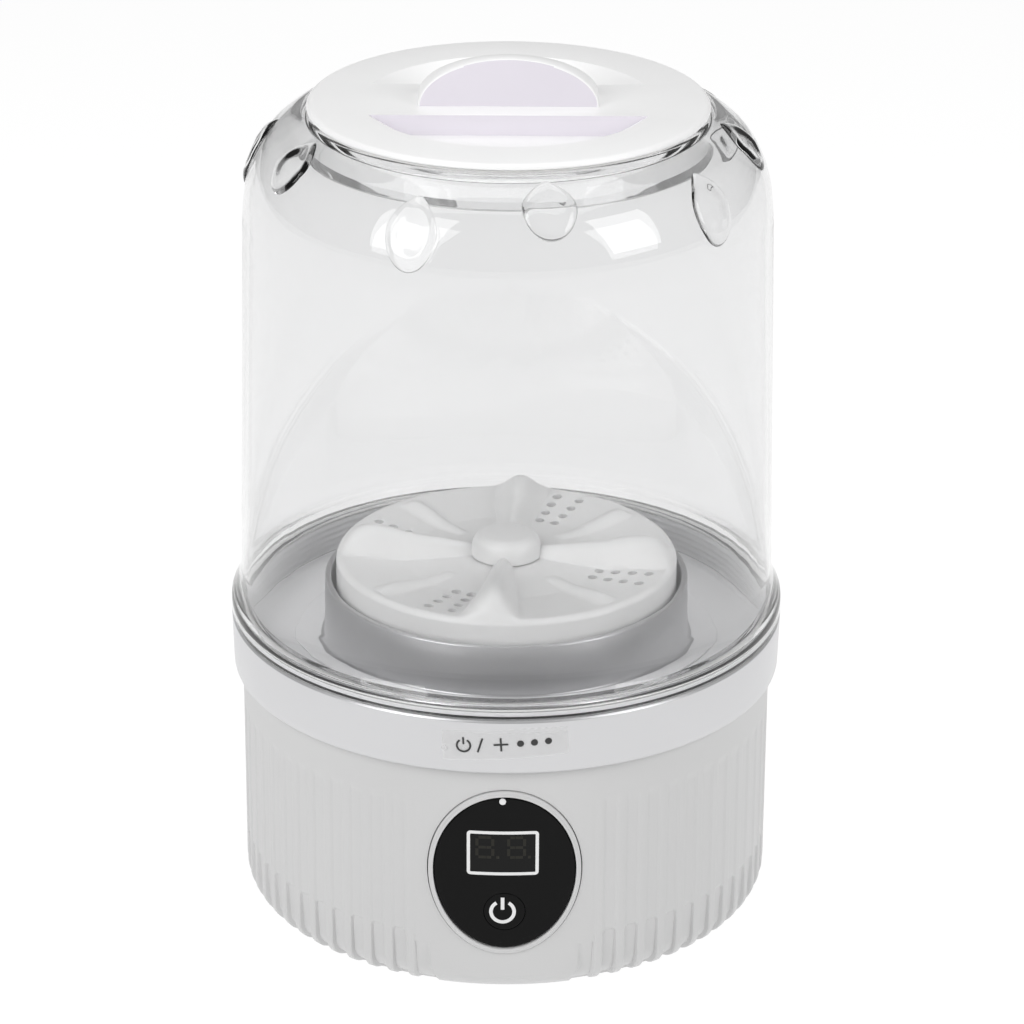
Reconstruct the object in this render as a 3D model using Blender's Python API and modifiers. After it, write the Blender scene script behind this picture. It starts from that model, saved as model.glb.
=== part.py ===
"""Portable mini washer: a drum-shaped base with a drive inside, a clear tub that screws on, and a screw lid.

Run with: blender --background --python part.py
Units are metres, +Z is up. The origin is on the washer's axis, on the floor under its feet.
The control panel faces -Y, and the charging port faces +Y.
"""

import math

import bmesh
import bpy
from mathutils import Matrix, Vector

MM = 0.001
GAP = 0.3  # clearance between neighbouring pieces, mm
SIDES = 36  # facets round a large turned shape
DISC_SIDES = 28  # facets round the pulsator and other middling pieces
SMALL_SIDES = 12  # facets round a pin or a post
HOLE_SIDES = 8  # facets round a screw or its hole

# Driving dimensions, mm. Heights are above the floor.
FOOT_PROUD = 1.0
BASE_R = 79.8
FLANGE_R = 82.84
WALL = 2.3
BASE_CORNER_R = 9.0
BAND_BOTTOM = 74.2
BAND_TOP = 91.5
COVER_R = 67.0
COVER_TOP = 3.2
BOWL_FLOOR = 82.0
BOWL_R = 78.8
BOWL_RIM = 98.0
SEAL_TOP = 99.5
NECK_R = 76.2
NECK_BOTTOM = 84.6
COLLAR_TOP = 100.0
COLLAR_R = 54.6
PULSATOR_R = 51.2
PULSATOR_TOP = 107.6
TUB_TOP = 247.0
MOUTH_R = 55.5
LID_R = 58.3
LID_TOP = 250.0
DISH_R = 42.5
DISH_DEPTH = 6.0
STRIP_HALF = 14.5
GRIP_HALF = 26.0
GRIP_HEIGHT = 13.0
PANEL_Z = 41.3
LENS_HALF = (20.5, 24.4)
BEZEL_HALF = (22.3, 26.6)
BUTTON_Z = 28.7
BUTTON_R = 6.0
BOARD_Y = -66.5
PORT_Z = 22.0
SCREW_RING_R = 60.0

# Gear train, mm: one wheel on the drive shaft, a stepped wheel beside it, and the motor's pinion.
GEAR_MODULE = 0.8
OUTPUT_TEETH = 56
IDLER_WHEEL_TEETH = 48
IDLER_PINION_TEETH = 14
MOTOR_TEETH = 12
GEAR_BACKLASH = 0.35
IDLER_DIRECTION = math.radians(150)
MOTOR_BEARING = math.radians(60)
PLATE_CENTRE = (-10.0, 13.0)
PLATE_R = 46.0
LOWER_PLATE_Z = (40.2, 42.4)
UPPER_PLATE_Z = (61.0, 63.2)
SHAFT_R = 3.0

COLOURS = {
    "housing_white": ((0.66, 0.66, 0.66), 0.45, 0.0, 1.0),
    "band_silver": ((0.62, 0.62, 0.63), 0.35, 0.3, 1.0),
    "bowl_silver": ((0.55, 0.55, 0.56), 0.38, 0.3, 1.0),
    "collar_silver": ((0.36, 0.36, 0.37), 0.35, 0.6, 1.0),
    "clear_tub": ((0.93, 0.94, 0.95), 0.03, 0.0, 0.2),
    "lid_white": ((0.88, 0.88, 0.89), 0.35, 0.0, 1.0),
    "pulsator_white": ((0.72, 0.72, 0.72), 0.4, 0.0, 1.0),
    "seal_white": ((0.8, 0.8, 0.8), 0.6, 0.0, 1.0),
    "panel_black": ((0.01, 0.01, 0.01), 0.08, 0.0, 1.0),
    "rubber_grey": ((0.2, 0.2, 0.2), 0.8, 0.0, 1.0),
    "board_green": ((0.02, 0.16, 0.07), 0.5, 0.0, 1.0),
    "black_plastic": ((0.02, 0.02, 0.02), 0.5, 0.0, 1.0),
    "cell_blue": ((0.05, 0.2, 0.55), 0.4, 0.0, 1.0),
    "gear_nylon": ((0.85, 0.84, 0.78), 0.5, 0.0, 1.0),
    "steel": ((0.6, 0.6, 0.6), 0.3, 1.0, 1.0),
    "brass": ((0.75, 0.55, 0.25), 0.35, 1.0, 1.0),
    "wire_red": ((0.6, 0.03, 0.03), 0.5, 0.0, 1.0),
}


# ---------------------------------------------------------------- helpers


def clear_scene():
    for obj in list(bpy.data.objects):
        bpy.data.objects.remove(obj, do_unlink=True)


def make_collection(name):
    made = bpy.data.collections.new(name)
    bpy.context.scene.collection.children.link(made)
    return made


def make_material(name, colour, roughness, metallic, alpha):
    material = bpy.data.materials.new(name)
    material.use_nodes = True
    shader = material.node_tree.nodes["Principled BSDF"]
    shader.inputs["Base Color"].default_value = (*colour, 1.0)
    shader.inputs["Roughness"].default_value = roughness
    shader.inputs["Metallic"].default_value = metallic
    shader.inputs["Alpha"].default_value = alpha
    material.diffuse_color = (*colour, alpha)
    return material


clear_scene()
PARTS = make_collection("portable_mini_washer")
CUTTERS = make_collection("cutters")
CUTTERS.hide_render = True
MATERIALS = {name: make_material(name, *look) for name, look in COLOURS.items()}


def place(name, data, slot):
    """An object in the parts collection, or a cutter where it has no material slot."""
    obj = bpy.data.objects.new(name, data)
    if slot is None:
        CUTTERS.objects.link(obj)
        obj.hide_render = True
        obj.display_type = "WIRE"
    else:
        PARTS.objects.link(obj)
        data.materials.append(MATERIALS[slot])
    return obj


def turned(name, slot, profile, at=(0.0, 0.0), sides=SIDES):
    """A turned solid. The profile is (r, z) points in mm, down the outer side and back up the inner one."""
    mesh = bpy.data.meshes.new(name)
    build = bmesh.new()
    corners = [build.verts.new((r * MM, 0.0, z * MM)) for r, z in profile]
    for first, second in zip(corners, corners[1:]):
        build.edges.new((first, second))
    if profile[0][0] > 0.0:
        build.edges.new((corners[-1], corners[0]))
    build.to_mesh(mesh)
    build.free()
    obj = place(name, mesh, slot)
    obj.location = (at[0] * MM, at[1] * MM, 0.0)
    screw = obj.modifiers.new("turn", "SCREW")
    screw.axis = "Z"
    screw.steps = sides
    screw.render_steps = sides
    screw.use_merge_vertices = True
    screw.merge_threshold = 0.00001
    screw.use_smooth_shade = True
    return obj


def round_bar(name, slot, radius, bottom, top, at=(0.0, 0.0), sides=SMALL_SIDES):
    """A plain round bar or disc, standing upright."""
    mesh = bpy.data.meshes.new(name)
    build = bmesh.new()
    height = (top - bottom) * MM
    size = radius * MM
    bmesh.ops.create_cone(build, cap_ends=True, segments=sides, radius1=size, radius2=size, depth=height)
    bmesh.ops.translate(build, verts=build.verts, vec=(0.0, 0.0, (bottom + top) / 2 * MM))
    build.to_mesh(mesh)
    build.free()
    obj = place(name, mesh, slot)
    obj.location = (at[0] * MM, at[1] * MM, 0.0)
    return obj


def block(name, slot, low, high, bevel=0.0):
    """A box between two corners in mm, with its edges rounded by bevel mm."""
    size = [(b - a) * MM for a, b in zip(low, high)]
    mesh = bpy.data.meshes.new(name)
    build = bmesh.new()
    bmesh.ops.create_cube(build, size=1.0)
    bmesh.ops.scale(build, vec=size, verts=build.verts)
    build.to_mesh(mesh)
    build.free()
    obj = place(name, mesh, slot)
    obj.location = [(a + b) / 2 * MM for a, b in zip(low, high)]
    if bevel:
        rounding = obj.modifiers.new("edges", "BEVEL")
        rounding.width = bevel * MM
        rounding.segments = 1
    return obj


def boolean(obj, other, operation):
    step = obj.modifiers.new(operation.lower(), "BOOLEAN")
    step.operation = operation
    step.solver = "EXACT"
    step.object = other


def cut(obj, *cutters):
    for cutter in cutters:
        boolean(obj, cutter, "DIFFERENCE")


def join(obj, *others):
    for other in others:
        boolean(obj, other, "UNION")


def around(radius, degrees):
    """A point in mm on a circle about the washer's axis, counted from +X towards +Y."""
    angle = math.radians(degrees)
    return (radius * math.cos(angle), radius * math.sin(angle))


def screw(name, slot, at, head_bottom, head_r, head_h, shank_r, tip):
    """A screw driven upwards (tip above its head) or downwards (tip below its head)."""
    head_top = head_bottom + head_h
    if tip > head_top:
        profile = [(0.0, tip), (shank_r, tip), (shank_r, head_top), (head_r, head_top)]
        profile += [(head_r, head_bottom), (0.0, head_bottom)]
    else:
        profile = [(0.0, head_top), (head_r, head_top), (head_r, head_bottom), (shank_r, head_bottom)]
        profile += [(shank_r, tip), (0.0, tip)]
    return turned(name, slot, profile, at=at, sides=HOLE_SIDES)


def screw_sideways(name, slot, x, z, head_y, head_r, head_h, shank_r, length):
    """A screw whose head faces +Y and whose shank points to -Y."""
    obj = screw(name, slot, (0.0, 0.0), 0.0, head_r, head_h, shank_r, -length)
    obj.rotation_euler = (math.radians(-90), 0.0, 0.0)
    obj.location = (x * MM, head_y * MM, z * MM)
    return obj


def oval_bar(name, slot, half, z, near, far, sides=32):
    """An upright oval outline run along Y from near to far, mm."""
    mesh = bpy.data.meshes.new(name)
    build = bmesh.new()
    bmesh.ops.create_cone(build, cap_ends=True, segments=sides, radius1=1.0, radius2=1.0, depth=1.0)
    bmesh.ops.rotate(build, verts=build.verts, matrix=Matrix.Rotation(math.pi / 2, 3, "X"))
    bmesh.ops.scale(build, vec=(half[0] * MM, (far - near) * MM, half[1] * MM), verts=build.verts)
    build.to_mesh(mesh)
    build.free()
    obj = place(name, mesh, slot)
    obj.location = (0.0, (near + far) / 2 * MM, z * MM)
    return obj


def curved_plate(name, slot, half, z, inner_r, outer_r):
    """An oval plate that follows the housing's round wall, between two radii in mm."""
    obj = oval_bar(name, slot, half, z, -outer_r - 6.0, -inner_r + 12.0)
    shell = turned(name + "_wall", None, ring_profile(inner_r, outer_r, 0.0, 90.0), sides=2 * SIDES)
    boolean(obj, shell, "INTERSECT")
    return obj


def ring_profile(inner_r, outer_r, bottom, top):
    return [(outer_r, top), (outer_r, bottom), (inner_r, bottom), (inner_r, top)]


def arc(centre, radius, start, end, steps):
    """Points of a profile's rounded corner, from start to end degrees about its centre."""
    found = []
    for i in range(steps + 1):
        angle = math.radians(start + (end - start) * i / steps)
        found.append((centre[0] + radius * math.cos(angle), centre[1] + radius * math.sin(angle)))
    return found


def flat_outline(name, slot, outlines, bottom, top, at=(0.0, 0.0), turn=0.0):
    """A flat piece from closed outlines in mm: the first is its edge and the others are its holes."""
    curve = bpy.data.curves.new(name, "CURVE")
    curve.dimensions = "2D"
    curve.fill_mode = "BOTH"
    curve.extrude = (top - bottom) / 2 * MM
    for outline in outlines:
        spline = curve.splines.new("POLY")
        spline.points.add(len(outline) - 1)
        for point, (x, y) in zip(spline.points, outline):
            point.co = (x * MM, y * MM, 0.0, 1.0)
        spline.use_cyclic_u = True
    obj = place(name, curve, slot)
    obj.location = (at[0] * MM, at[1] * MM, (bottom + top) / 2 * MM)
    obj.rotation_euler = (0.0, 0.0, turn)
    return obj


def circle_outline(radius, sides=SMALL_SIDES):
    return [around(radius, 360.0 * i / sides) for i in range(sides)]


def gear_outline(teeth):
    """Tooth flanks drawn straight from root to tip, thinned a little for backlash."""
    pitch_r = GEAR_MODULE * teeth / 2
    root_r = pitch_r - 1.25 * GEAR_MODULE
    tip_r = pitch_r + 0.9 * GEAR_MODULE
    step = 2 * math.pi / teeth
    half_pitch = step / 4 - GEAR_BACKLASH / 2 / pitch_r
    flank = math.tan(math.radians(20)) * GEAR_MODULE / pitch_r
    half_root = half_pitch + 1.25 * flank
    half_tip = half_pitch - 0.9 * flank
    found = []
    for tooth in range(teeth):
        middle = tooth * step
        flanks = ((root_r, -half_root), (tip_r, -half_tip), (tip_r, half_tip), (root_r, half_root))
        for radius, offset in flanks:
            found.append((radius * math.cos(middle + offset), radius * math.sin(middle + offset)))
    return found


def gear(name, slot, teeth, bottom, top, bore, at, turn):
    return flat_outline(name, slot, [gear_outline(teeth), circle_outline(bore)], bottom, top, at, turn)


def wire(name, slot, radius, points):
    """A round lead through points in mm, its bends eased by a spline."""
    curve = bpy.data.curves.new(name, "CURVE")
    curve.dimensions = "3D"
    curve.bevel_depth = radius * MM
    curve.bevel_resolution = 1
    curve.use_fill_caps = True
    spline = curve.splines.new("POLY")
    eased = eased_route(points)
    spline.points.add(len(eased) - 1)
    for point, where in zip(spline.points, eased):
        point.co = (where[0] * MM, where[1] * MM, where[2] * MM, 1.0)
    return place(name, curve, slot)


def eased_route(points, steps=3):
    """Points along a smooth curve through every given point."""
    padded = [Vector(points[0]), *[Vector(p) for p in points], Vector(points[-1])]
    found = []
    for before, start, end, after in zip(padded, padded[1:], padded[2:], padded[3:]):
        for i in range(steps):
            t = i / steps
            found.append(
                0.5
                * (
                    2 * start
                    + (end - before) * t
                    + (2 * before - 5 * start + 4 * end - after) * t * t
                    + (3 * start - before - 3 * end + after) * t ** 3
                )
            )
    found.append(Vector(points[-1]))
    return found


# ---------------------------------------------------------------- base


def base_housing():
    """The fluted drum: its wall, the rounded foot, four screw posts and four posts for the control board."""
    inner_r = BASE_R - WALL
    corner = (BASE_R - BASE_CORNER_R, FOOT_PROUD + BASE_CORNER_R)
    profile = [(BASE_R - 1.0, BAND_BOTTOM + 6.0), (BASE_R - 1.0, BAND_BOTTOM - GAP)]
    profile += [(BASE_R, BAND_BOTTOM - GAP)]
    profile += arc(corner, BASE_CORNER_R, 0, -90, 3)
    profile += [(COVER_R + 0.4, FOOT_PROUD), (COVER_R + 0.4, FOOT_PROUD + WALL)]
    profile += [(corner[0], FOOT_PROUD + WALL), (inner_r, corner[1]), (inner_r, BAND_BOTTOM + 6.0)]
    housing = turned("base_housing", "housing_white", profile)
    for i in range(4):
        degrees = 45 + 90 * i
        post = round_bar(f"screw_post_{i}", None, 4.0, 5.4, 24.0, at=around(SCREW_RING_R, degrees))
        web = block(f"screw_web_{i}", None, (SCREW_RING_R, -1.5, 5.4), (inner_r + 1.0, 1.5, 24.0))
        web.matrix_world = Matrix.Rotation(math.radians(degrees), 4, "Z") @ web.matrix_basis
        join(housing, post, web)
    for i, (x, z) in enumerate(board_posts()):
        post = sideways_bar(f"board_post_{i}", 2.6, x, z, BOARD_Y - GAP - 7.2, BOARD_Y - GAP)
        join(housing, post)
        cut(housing, sideways_bar(f"board_post_hole_{i}", 1.2, x, z, BOARD_Y - 6.0, BOARD_Y + 1.0))
    window = oval_bar("panel_cutout", None, (BEZEL_HALF[0] + GAP, BEZEL_HALF[1] + GAP), PANEL_Z, -90.0, -70.5)
    port = block("port_cutout", None, (-5.2, 70.0, PORT_Z - 2.3), (5.2, 90.0, PORT_Z + 2.3))
    cut(housing, window, port)
    for i in range(4):
        at = around(SCREW_RING_R, 45 + 90 * i)
        cut(housing, round_bar(f"post_hole_{i}", None, 1.5, 3.0, 18.0, at=at, sides=HOLE_SIDES))
    return housing


def board_posts():
    return [(x, PANEL_Z + dz) for x in (-26.5, 26.5) for dz in (-15.0, 15.0)]


def sideways_bar(name, radius, x, z, near, far, sides=HOLE_SIDES):
    """A cutter or a stub that runs along Y."""
    bar = round_bar(name, None, radius, 0.0, far - near, sides=sides)
    bar.rotation_euler = (math.radians(-90), 0.0, 0.0)
    bar.location = (x * MM, near * MM, z * MM)
    return bar


def band_ring():
    """The silver ring that overhangs the drum, with a rounded lower edge."""
    edge_r = 1.4
    profile = [(FLANGE_R, BAND_TOP), (82.5, 79.0)]
    profile += arc((82.4 - edge_r, BAND_BOTTOM + edge_r), edge_r, 0, -90, 2)
    profile += [(BOWL_R + GAP, BAND_BOTTOM), (BOWL_R + GAP, BAND_TOP)]
    return turned("band_ring", "band_silver", profile)


def wash_bowl():
    """The bowl under the tub: its wall, its floor and the raised boss that the drive shaft comes through."""
    inner_r = NECK_R + 0.4
    under = BOWL_FLOOR - 2.2
    profile = [(BOWL_R, BOWL_RIM), (BOWL_R, BAND_BOTTOM + 6.3), (inner_r - 2.0, under)]
    profile += [(11.0, under), (11.0, 69.0), (7.6, 69.0), (7.6, 91.8), (4.0, 91.8), (4.0, 93.3)]
    profile += [(10.0, 93.3), (12.0, BOWL_FLOOR), (inner_r, BOWL_FLOOR), (inner_r, BOWL_RIM)]
    bowl = turned("wash_bowl", "bowl_silver", profile)
    for i, at in enumerate(gearbox_screw_places()):
        foot = UPPER_PLATE_Z[1] + GAP
        boss = round_bar(f"bowl_boss_{i}", None, 4.5, foot, BOWL_FLOOR - 1.0, at=at)
        hole = round_bar(f"bowl_boss_hole_{i}", None, 1.9, foot - 1.3, 75.0, at=at, sides=HOLE_SIDES)
        join(bowl, boss)
        cut(bowl, hole)
    return bowl


def pulsator_collar():
    """The satin ring round the pulsator, standing on a thin flange on the bowl's floor."""
    foot = BOWL_FLOOR + GAP
    profile = [(COLLAR_R - 0.6, COLLAR_TOP), (COLLAR_R, foot + 3.0)]
    profile += [(COLLAR_R + 1.6, foot + 1.0), (63.0, foot + 0.8), (63.0, foot), (COLLAR_R - 1.9, foot)]
    profile += [(COLLAR_R - 1.9, COLLAR_TOP)]
    return turned("pulsator_collar", "collar_silver", profile)


def bottom_cover():
    """The plate that closes the drum from below, with four screw bosses and a shallow seat for each foot."""
    profile = [(0.0, COVER_TOP), (COVER_R, COVER_TOP), (COVER_R, FOOT_PROUD), (0.0, FOOT_PROUD)]
    cover = turned("bottom_cover", "housing_white", profile)
    for i in range(4):
        at = around(SCREW_RING_R, 45 + 90 * i)
        join(cover, round_bar(f"cover_boss_{i}", None, 5.5, FOOT_PROUD + 0.5, 5.1, at=at))
        cut(cover, round_bar(f"cover_head_seat_{i}", None, 3.6, 0.0, 3.3, at=at))
        cut(cover, round_bar(f"cover_hole_{i}", None, 1.6, 0.0, 6.0, at=at, sides=HOLE_SIDES))
        foot_at = around(SCREW_RING_R, 90 * i)
        cut(cover, round_bar(f"foot_seat_{i}", None, 6.4, 0.0, FOOT_PROUD + 0.9, at=foot_at, sides=16))
    for i in range(4):
        turned(
            f"foot_{i + 1}",
            "rubber_grey",
            [(0.0, FOOT_PROUD + 0.6), (6.0, FOOT_PROUD + 0.6), (6.0, 0.5), (5.5, 0.0), (0.0, 0.0)],
            at=around(SCREW_RING_R, 90 * i),
            sides=16,
        )
        screw(f"cover_screw_{i + 1}", "steel", around(SCREW_RING_R, 45 + 90 * i), 1.3, 3.2, 1.7, 1.2, 17.0)


# ---------------------------------------------------------------- control panel


def control_panel():
    bezel = curved_plate("panel_bezel", "housing_white", BEZEL_HALF, PANEL_Z, 76.0, 80.8)
    hole = (LENS_HALF[0] + GAP, LENS_HALF[1] + GAP)
    cut(bezel, oval_bar("bezel_hole", None, hole, PANEL_Z, -90.0, -60.0))
    lens = curved_plate("panel_lens", "panel_black", LENS_HALF, PANEL_Z, 77.2, 80.3)
    cut(lens, sideways_bar("button_hole", BUTTON_R + GAP, 0.0, BUTTON_Z, -90.0, -60.0, sides=24))
    button = curved_plate("power_button", "panel_black", (BUTTON_R, BUTTON_R), BUTTON_Z, 77.6, 80.2)
    stem = sideways_bar("button_stem", 1.6, 0.0, BUTTON_Z, -79.0, -71.6)
    join(button, stem)


def control_board():
    top = PANEL_Z + 19.0
    bottom = PANEL_Z - 19.0
    board = block("control_board", "board_green", (-30.0, BOARD_Y, bottom), (30.0, BOARD_Y + 1.5, top))
    for i, (x, z) in enumerate(board_posts()):
        cut(board, sideways_bar(f"board_hole_{i}", 1.5, x, z, BOARD_Y - 1.0, BOARD_Y + 3.0))
        screw_sideways(f"board_screw_{i + 1}", "steel", x, z, BOARD_Y + 1.8, 2.4, 1.4, 1.0, 6.2)
    near = BOARD_Y - GAP
    block("display_module", "black_plastic", (-10.5, near - 7.0, 40.2), (10.5, near, 54.8), bevel=0.4)
    switch_low = (-3.0, near - 3.6, BUTTON_Z - 3.0)
    block("tact_switch", "steel", switch_low, (3.0, near, BUTTON_Z + 3.0), bevel=0.3)


# ---------------------------------------------------------------- power


def power_pack():
    cell_r = 9.2
    cell_x = 49.0
    cell_y = 11.0
    tray_low = (cell_x - 12.0, -24.0, 3.6)
    tray = block("battery_tray", "black_plastic", tray_low, (cell_x + 11.5, 24.0, 18.0), bevel=1.0)
    for i, y in enumerate((-cell_y, cell_y)):
        cut(tray, round_bar(f"cell_seat_{i}", None, cell_r + 0.4, 5.4, 30.0, at=(cell_x, y), sides=24))
        profile = [(0.0, 71.0), (2.6, 71.0), (2.6, 70.0), (cell_r - 0.4, 70.0), (cell_r, 69.4)]
        profile += [(cell_r, 5.8), (0.0, 5.8)]
        turned(f"battery_cell_{i + 1}", "cell_blue", profile, at=(cell_x, y), sides=24)
    socket_low = (-4.5, 70.5, PORT_Z - 1.7)
    socket = block("charge_socket", "steel", socket_low, (4.5, 78.0, PORT_Z + 1.7), bevel=0.6)
    cut(socket, block("socket_mouth", None, (-3.9, 71.5, PORT_Z - 1.1), (3.9, 80.0, PORT_Z + 1.1)))
    block("charge_board", "board_green", (-10.0, 56.0, PORT_Z - 3.4), (10.0, 76.3, PORT_Z - 2.0))
    flap_low = (-8.0, 80.15, PORT_Z - 5.0)
    flap = block("port_cover", "rubber_grey", flap_low, (8.0, 81.9, PORT_Z + 5.0), bevel=0.5)
    join(flap, block("port_plug", None, (-4.6, 79.0, PORT_Z - 1.7), (4.6, 81.0, PORT_Z + 1.7)))


def leads():
    """Three insulated leads: cells to board, board to motor and charging board to board."""
    lead_r = 0.8
    solder_y = -63.8
    from_cells = [(49, -11, 71.8), (46, -24, 73), (36, -44, 66), (24, -58, 54), (20, solder_y, 48)]
    to_motor = [(-12.3, 34.8, 5.6), (-32, 22, 6.5), (-46, -10, 12), (-34, -46, 24), (-20, solder_y, 30)]
    from_port = [(8, 55.4, 19.3), (14, 44, 21), (30, 34, 30), (34, 12, 34)]
    from_port += [(34, -22, 34), (27, -50, 30), (14, solder_y, 28)]
    wire("battery_lead", "wire_red", lead_r, from_cells)
    wire("motor_lead", "wire_red", lead_r, to_motor)
    wire("charge_lead", "wire_red", lead_r, from_port)


# ---------------------------------------------------------------- drive


def gearbox_screw_places():
    reach = 42.0
    offsets = [around(reach, degrees) for degrees in (-15.0, -110.0, 120.0)]
    return [(PLATE_CENTRE[0] + x, PLATE_CENTRE[1] + y) for x, y in offsets]


def gear_places():
    """Centres of the stepped wheel and of the motor, mm, from the tooth counts."""
    first = GEAR_MODULE * (OUTPUT_TEETH + IDLER_PINION_TEETH) / 2
    second = GEAR_MODULE * (IDLER_WHEEL_TEETH + MOTOR_TEETH) / 2
    idler = (first * math.cos(IDLER_DIRECTION), first * math.sin(IDLER_DIRECTION))
    motor = (idler[0] + second * math.cos(MOTOR_BEARING), idler[1] + second * math.sin(MOTOR_BEARING))
    return idler, motor


def meshing_turn(followed_turn, followed_teeth, teeth, direction):
    """The turn that puts a tooth space of one gear on a tooth of the other, on their line of centres."""
    offset = (direction - followed_turn) * followed_teeth
    return direction + math.pi + offset / teeth + math.pi / teeth


def gearbox():
    idler, motor = gear_places()
    disc = circle_outline(PLATE_R, SIDES)
    screws = gearbox_screw_places()

    def plate(name, heights, holes):
        return flat_outline(name, "black_plastic", [disc, *holes], *heights, at=PLATE_CENTRE)

    def hole(at, radius):
        return [(x + at[0] - PLATE_CENTRE[0], y + at[1] - PLATE_CENTRE[1]) for x, y in circle_outline(radius)]

    axis = (0.0, 0.0)
    shared_holes = [hole(idler, 2.3), *[hole(at, 1.8) for at in screws]]
    plate("gearbox_upper_plate", UPPER_PLATE_Z, [hole(axis, 11.6), *shared_holes])
    plate("gearbox_lower_plate", LOWER_PLATE_Z, [hole(axis, 5.4), hole(motor, 6.6), *shared_holes])
    for i, at in enumerate(screws):
        low, high = LOWER_PLATE_Z[1] + GAP, UPPER_PLATE_Z[0] - GAP
        tube = ring_profile(1.8, 3.6, low, high)
        turned(f"gearbox_spacer_{i + 1}", "steel", tube, at=at, sides=SMALL_SIDES)
        screw(f"gearbox_screw_{i + 1}", "steel", at, LOWER_PLATE_Z[0] - 2.3, 3.2, 2.0, 1.4, 73.0)

    output_turn = 0.0
    idler_turn = meshing_turn(output_turn, OUTPUT_TEETH, IDLER_PINION_TEETH, IDLER_DIRECTION)
    motor_turn = meshing_turn(idler_turn, IDLER_WHEEL_TEETH, MOTOR_TEETH, MOTOR_BEARING)
    gear("output_gear", "gear_nylon", OUTPUT_TEETH, 52.0, 59.0, SHAFT_R + GAP, (0.0, 0.0), output_turn)
    gear("idler_wheel", "gear_nylon", IDLER_WHEEL_TEETH, 44.0, 50.0, 2.4, idler, idler_turn)
    gear("idler_pinion", "gear_nylon", IDLER_PINION_TEETH, 50.3, 59.5, 2.4, idler, idler_turn)
    gear("motor_pinion", "brass", MOTOR_TEETH, 43.6, 50.0, 1.6, motor, motor_turn)
    round_bar("idler_pin", "steel", 2.0, LOWER_PLATE_Z[0], UPPER_PLATE_Z[1], at=idler)

    motor_pieces(motor)


def motor_pieces(at):
    """The motor's drawn can, its plastic end bell and its shaft with the rotor on it."""
    can = [(13.6, 39.9), (13.6, 12.0), (12.2, 12.0), (12.2, 38.4), (3.4, 38.4), (3.4, 39.9)]
    end_bell = [(0.0, 11.6), (13.4, 11.6), (13.4, 8.6), (6.0, 8.0), (0.0, 8.0)]
    rotor = [(0.0, 51.5), (1.2, 51.5), (1.2, 37.5), (7.5, 37.5), (7.5, 14.5), (0.0, 14.5)]
    turned("motor_can", "steel", can, at=at, sides=24)
    turned("motor_end_bell", "black_plastic", end_bell, at=at, sides=24)
    turned("motor_shaft", "steel", rotor, at=at, sides=16)


def drive_line():
    """The drive shaft from the output gear up into the pulsator, its two bushes and its seal."""
    shaft_profile = [(0.0, 103.5), (SHAFT_R, 103.5), (SHAFT_R, 40.8), (0.0, 40.8)]
    shaft = turned("drive_shaft", "steel", shaft_profile, sides=24)
    cut(shaft, round_bar("shaft_tapping", None, 1.9, 92.0, 105.0, sides=HOLE_SIDES))
    bore_r = SHAFT_R + GAP
    turned("lower_bush", "brass", ring_profile(bore_r, 5.0, 40.0, 43.6), sides=24)
    turned("upper_bush", "brass", ring_profile(bore_r, 7.2, 69.4, 83.6), sides=24)
    turned("shaft_seal", "rubber_grey", ring_profile(bore_r, 7.2, 84.0, 91.4), sides=24)


# ---------------------------------------------------------------- pulsator


def pulsator():
    """The white disc that churns the water: four tall blades, four low ones and groups of drain holes."""
    top = PULSATOR_TOP
    skirt = 96.5
    profile = [(0.0, top - 1.0), (12.0, top - 1.0), (30.0, top - 2.2), (49.8, top)]
    profile += [(PULSATOR_R, top - 1.0), (PULSATOR_R, skirt), (PULSATOR_R - 2.2, skirt)]
    profile += [(48.4, top - 3.6), (28.0, top - 4.8)]
    profile += [(9.0, top - 4.8), (9.0, 94.2), (3.4, 94.2), (3.4, 104.0), (0.0, 104.0)]
    disc = turned("pulsator", "pulsator_white", profile, sides=DISC_SIDES)
    for i in range(4):
        tall = 86.0 + 90.0 * i
        join(disc, blade(f"tall_blade_{i}", 31.0, 19.0, 6.5, top - 3.2, 10.8, tall))
        join(disc, blade(f"low_blade_{i}", 36.0, 11.0, 4.0, top - 3.2, 4.4, tall + 45.0))
    cut(disc, drain_holes(), round_bar("cap_screw_hole", None, 2.0, 100.0, 110.0, sides=HOLE_SIDES))
    cap_low = top - 0.6
    cap = [(0.0, top + 6.3), (6.5, top + 6.0), (9.4, top + 4.6), (10.6, top + 2.2), (10.6, cap_low)]
    cap += [(9.0, cap_low), (9.0, top + 2.0), (6.0, top + 3.8), (0.0, top + 4.2)]
    turned("pulsator_cap", "pulsator_white", cap, sides=24)
    screw("pulsator_screw", "steel", (0.0, 0.0), top - 0.7, 3.6, 2.2, 1.5, 93.0)
    return disc


def blade(name, distance, length, width, z, height, degrees):
    """A half-buried egg shape that points from the pulsator's centre to its rim."""
    mesh = bpy.data.meshes.new(name)
    build = bmesh.new()
    bmesh.ops.create_uvsphere(build, u_segments=8, v_segments=5, radius=1.0)
    bmesh.ops.scale(build, vec=(length * MM, width * MM, height * MM), verts=build.verts)
    build.to_mesh(mesh)
    build.free()
    obj = place(name, mesh, None)
    x, y = around(distance, degrees)
    obj.location = (x * MM, y * MM, z * MM)
    obj.rotation_euler = (0.0, 0.0, math.radians(degrees))
    return obj


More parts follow.
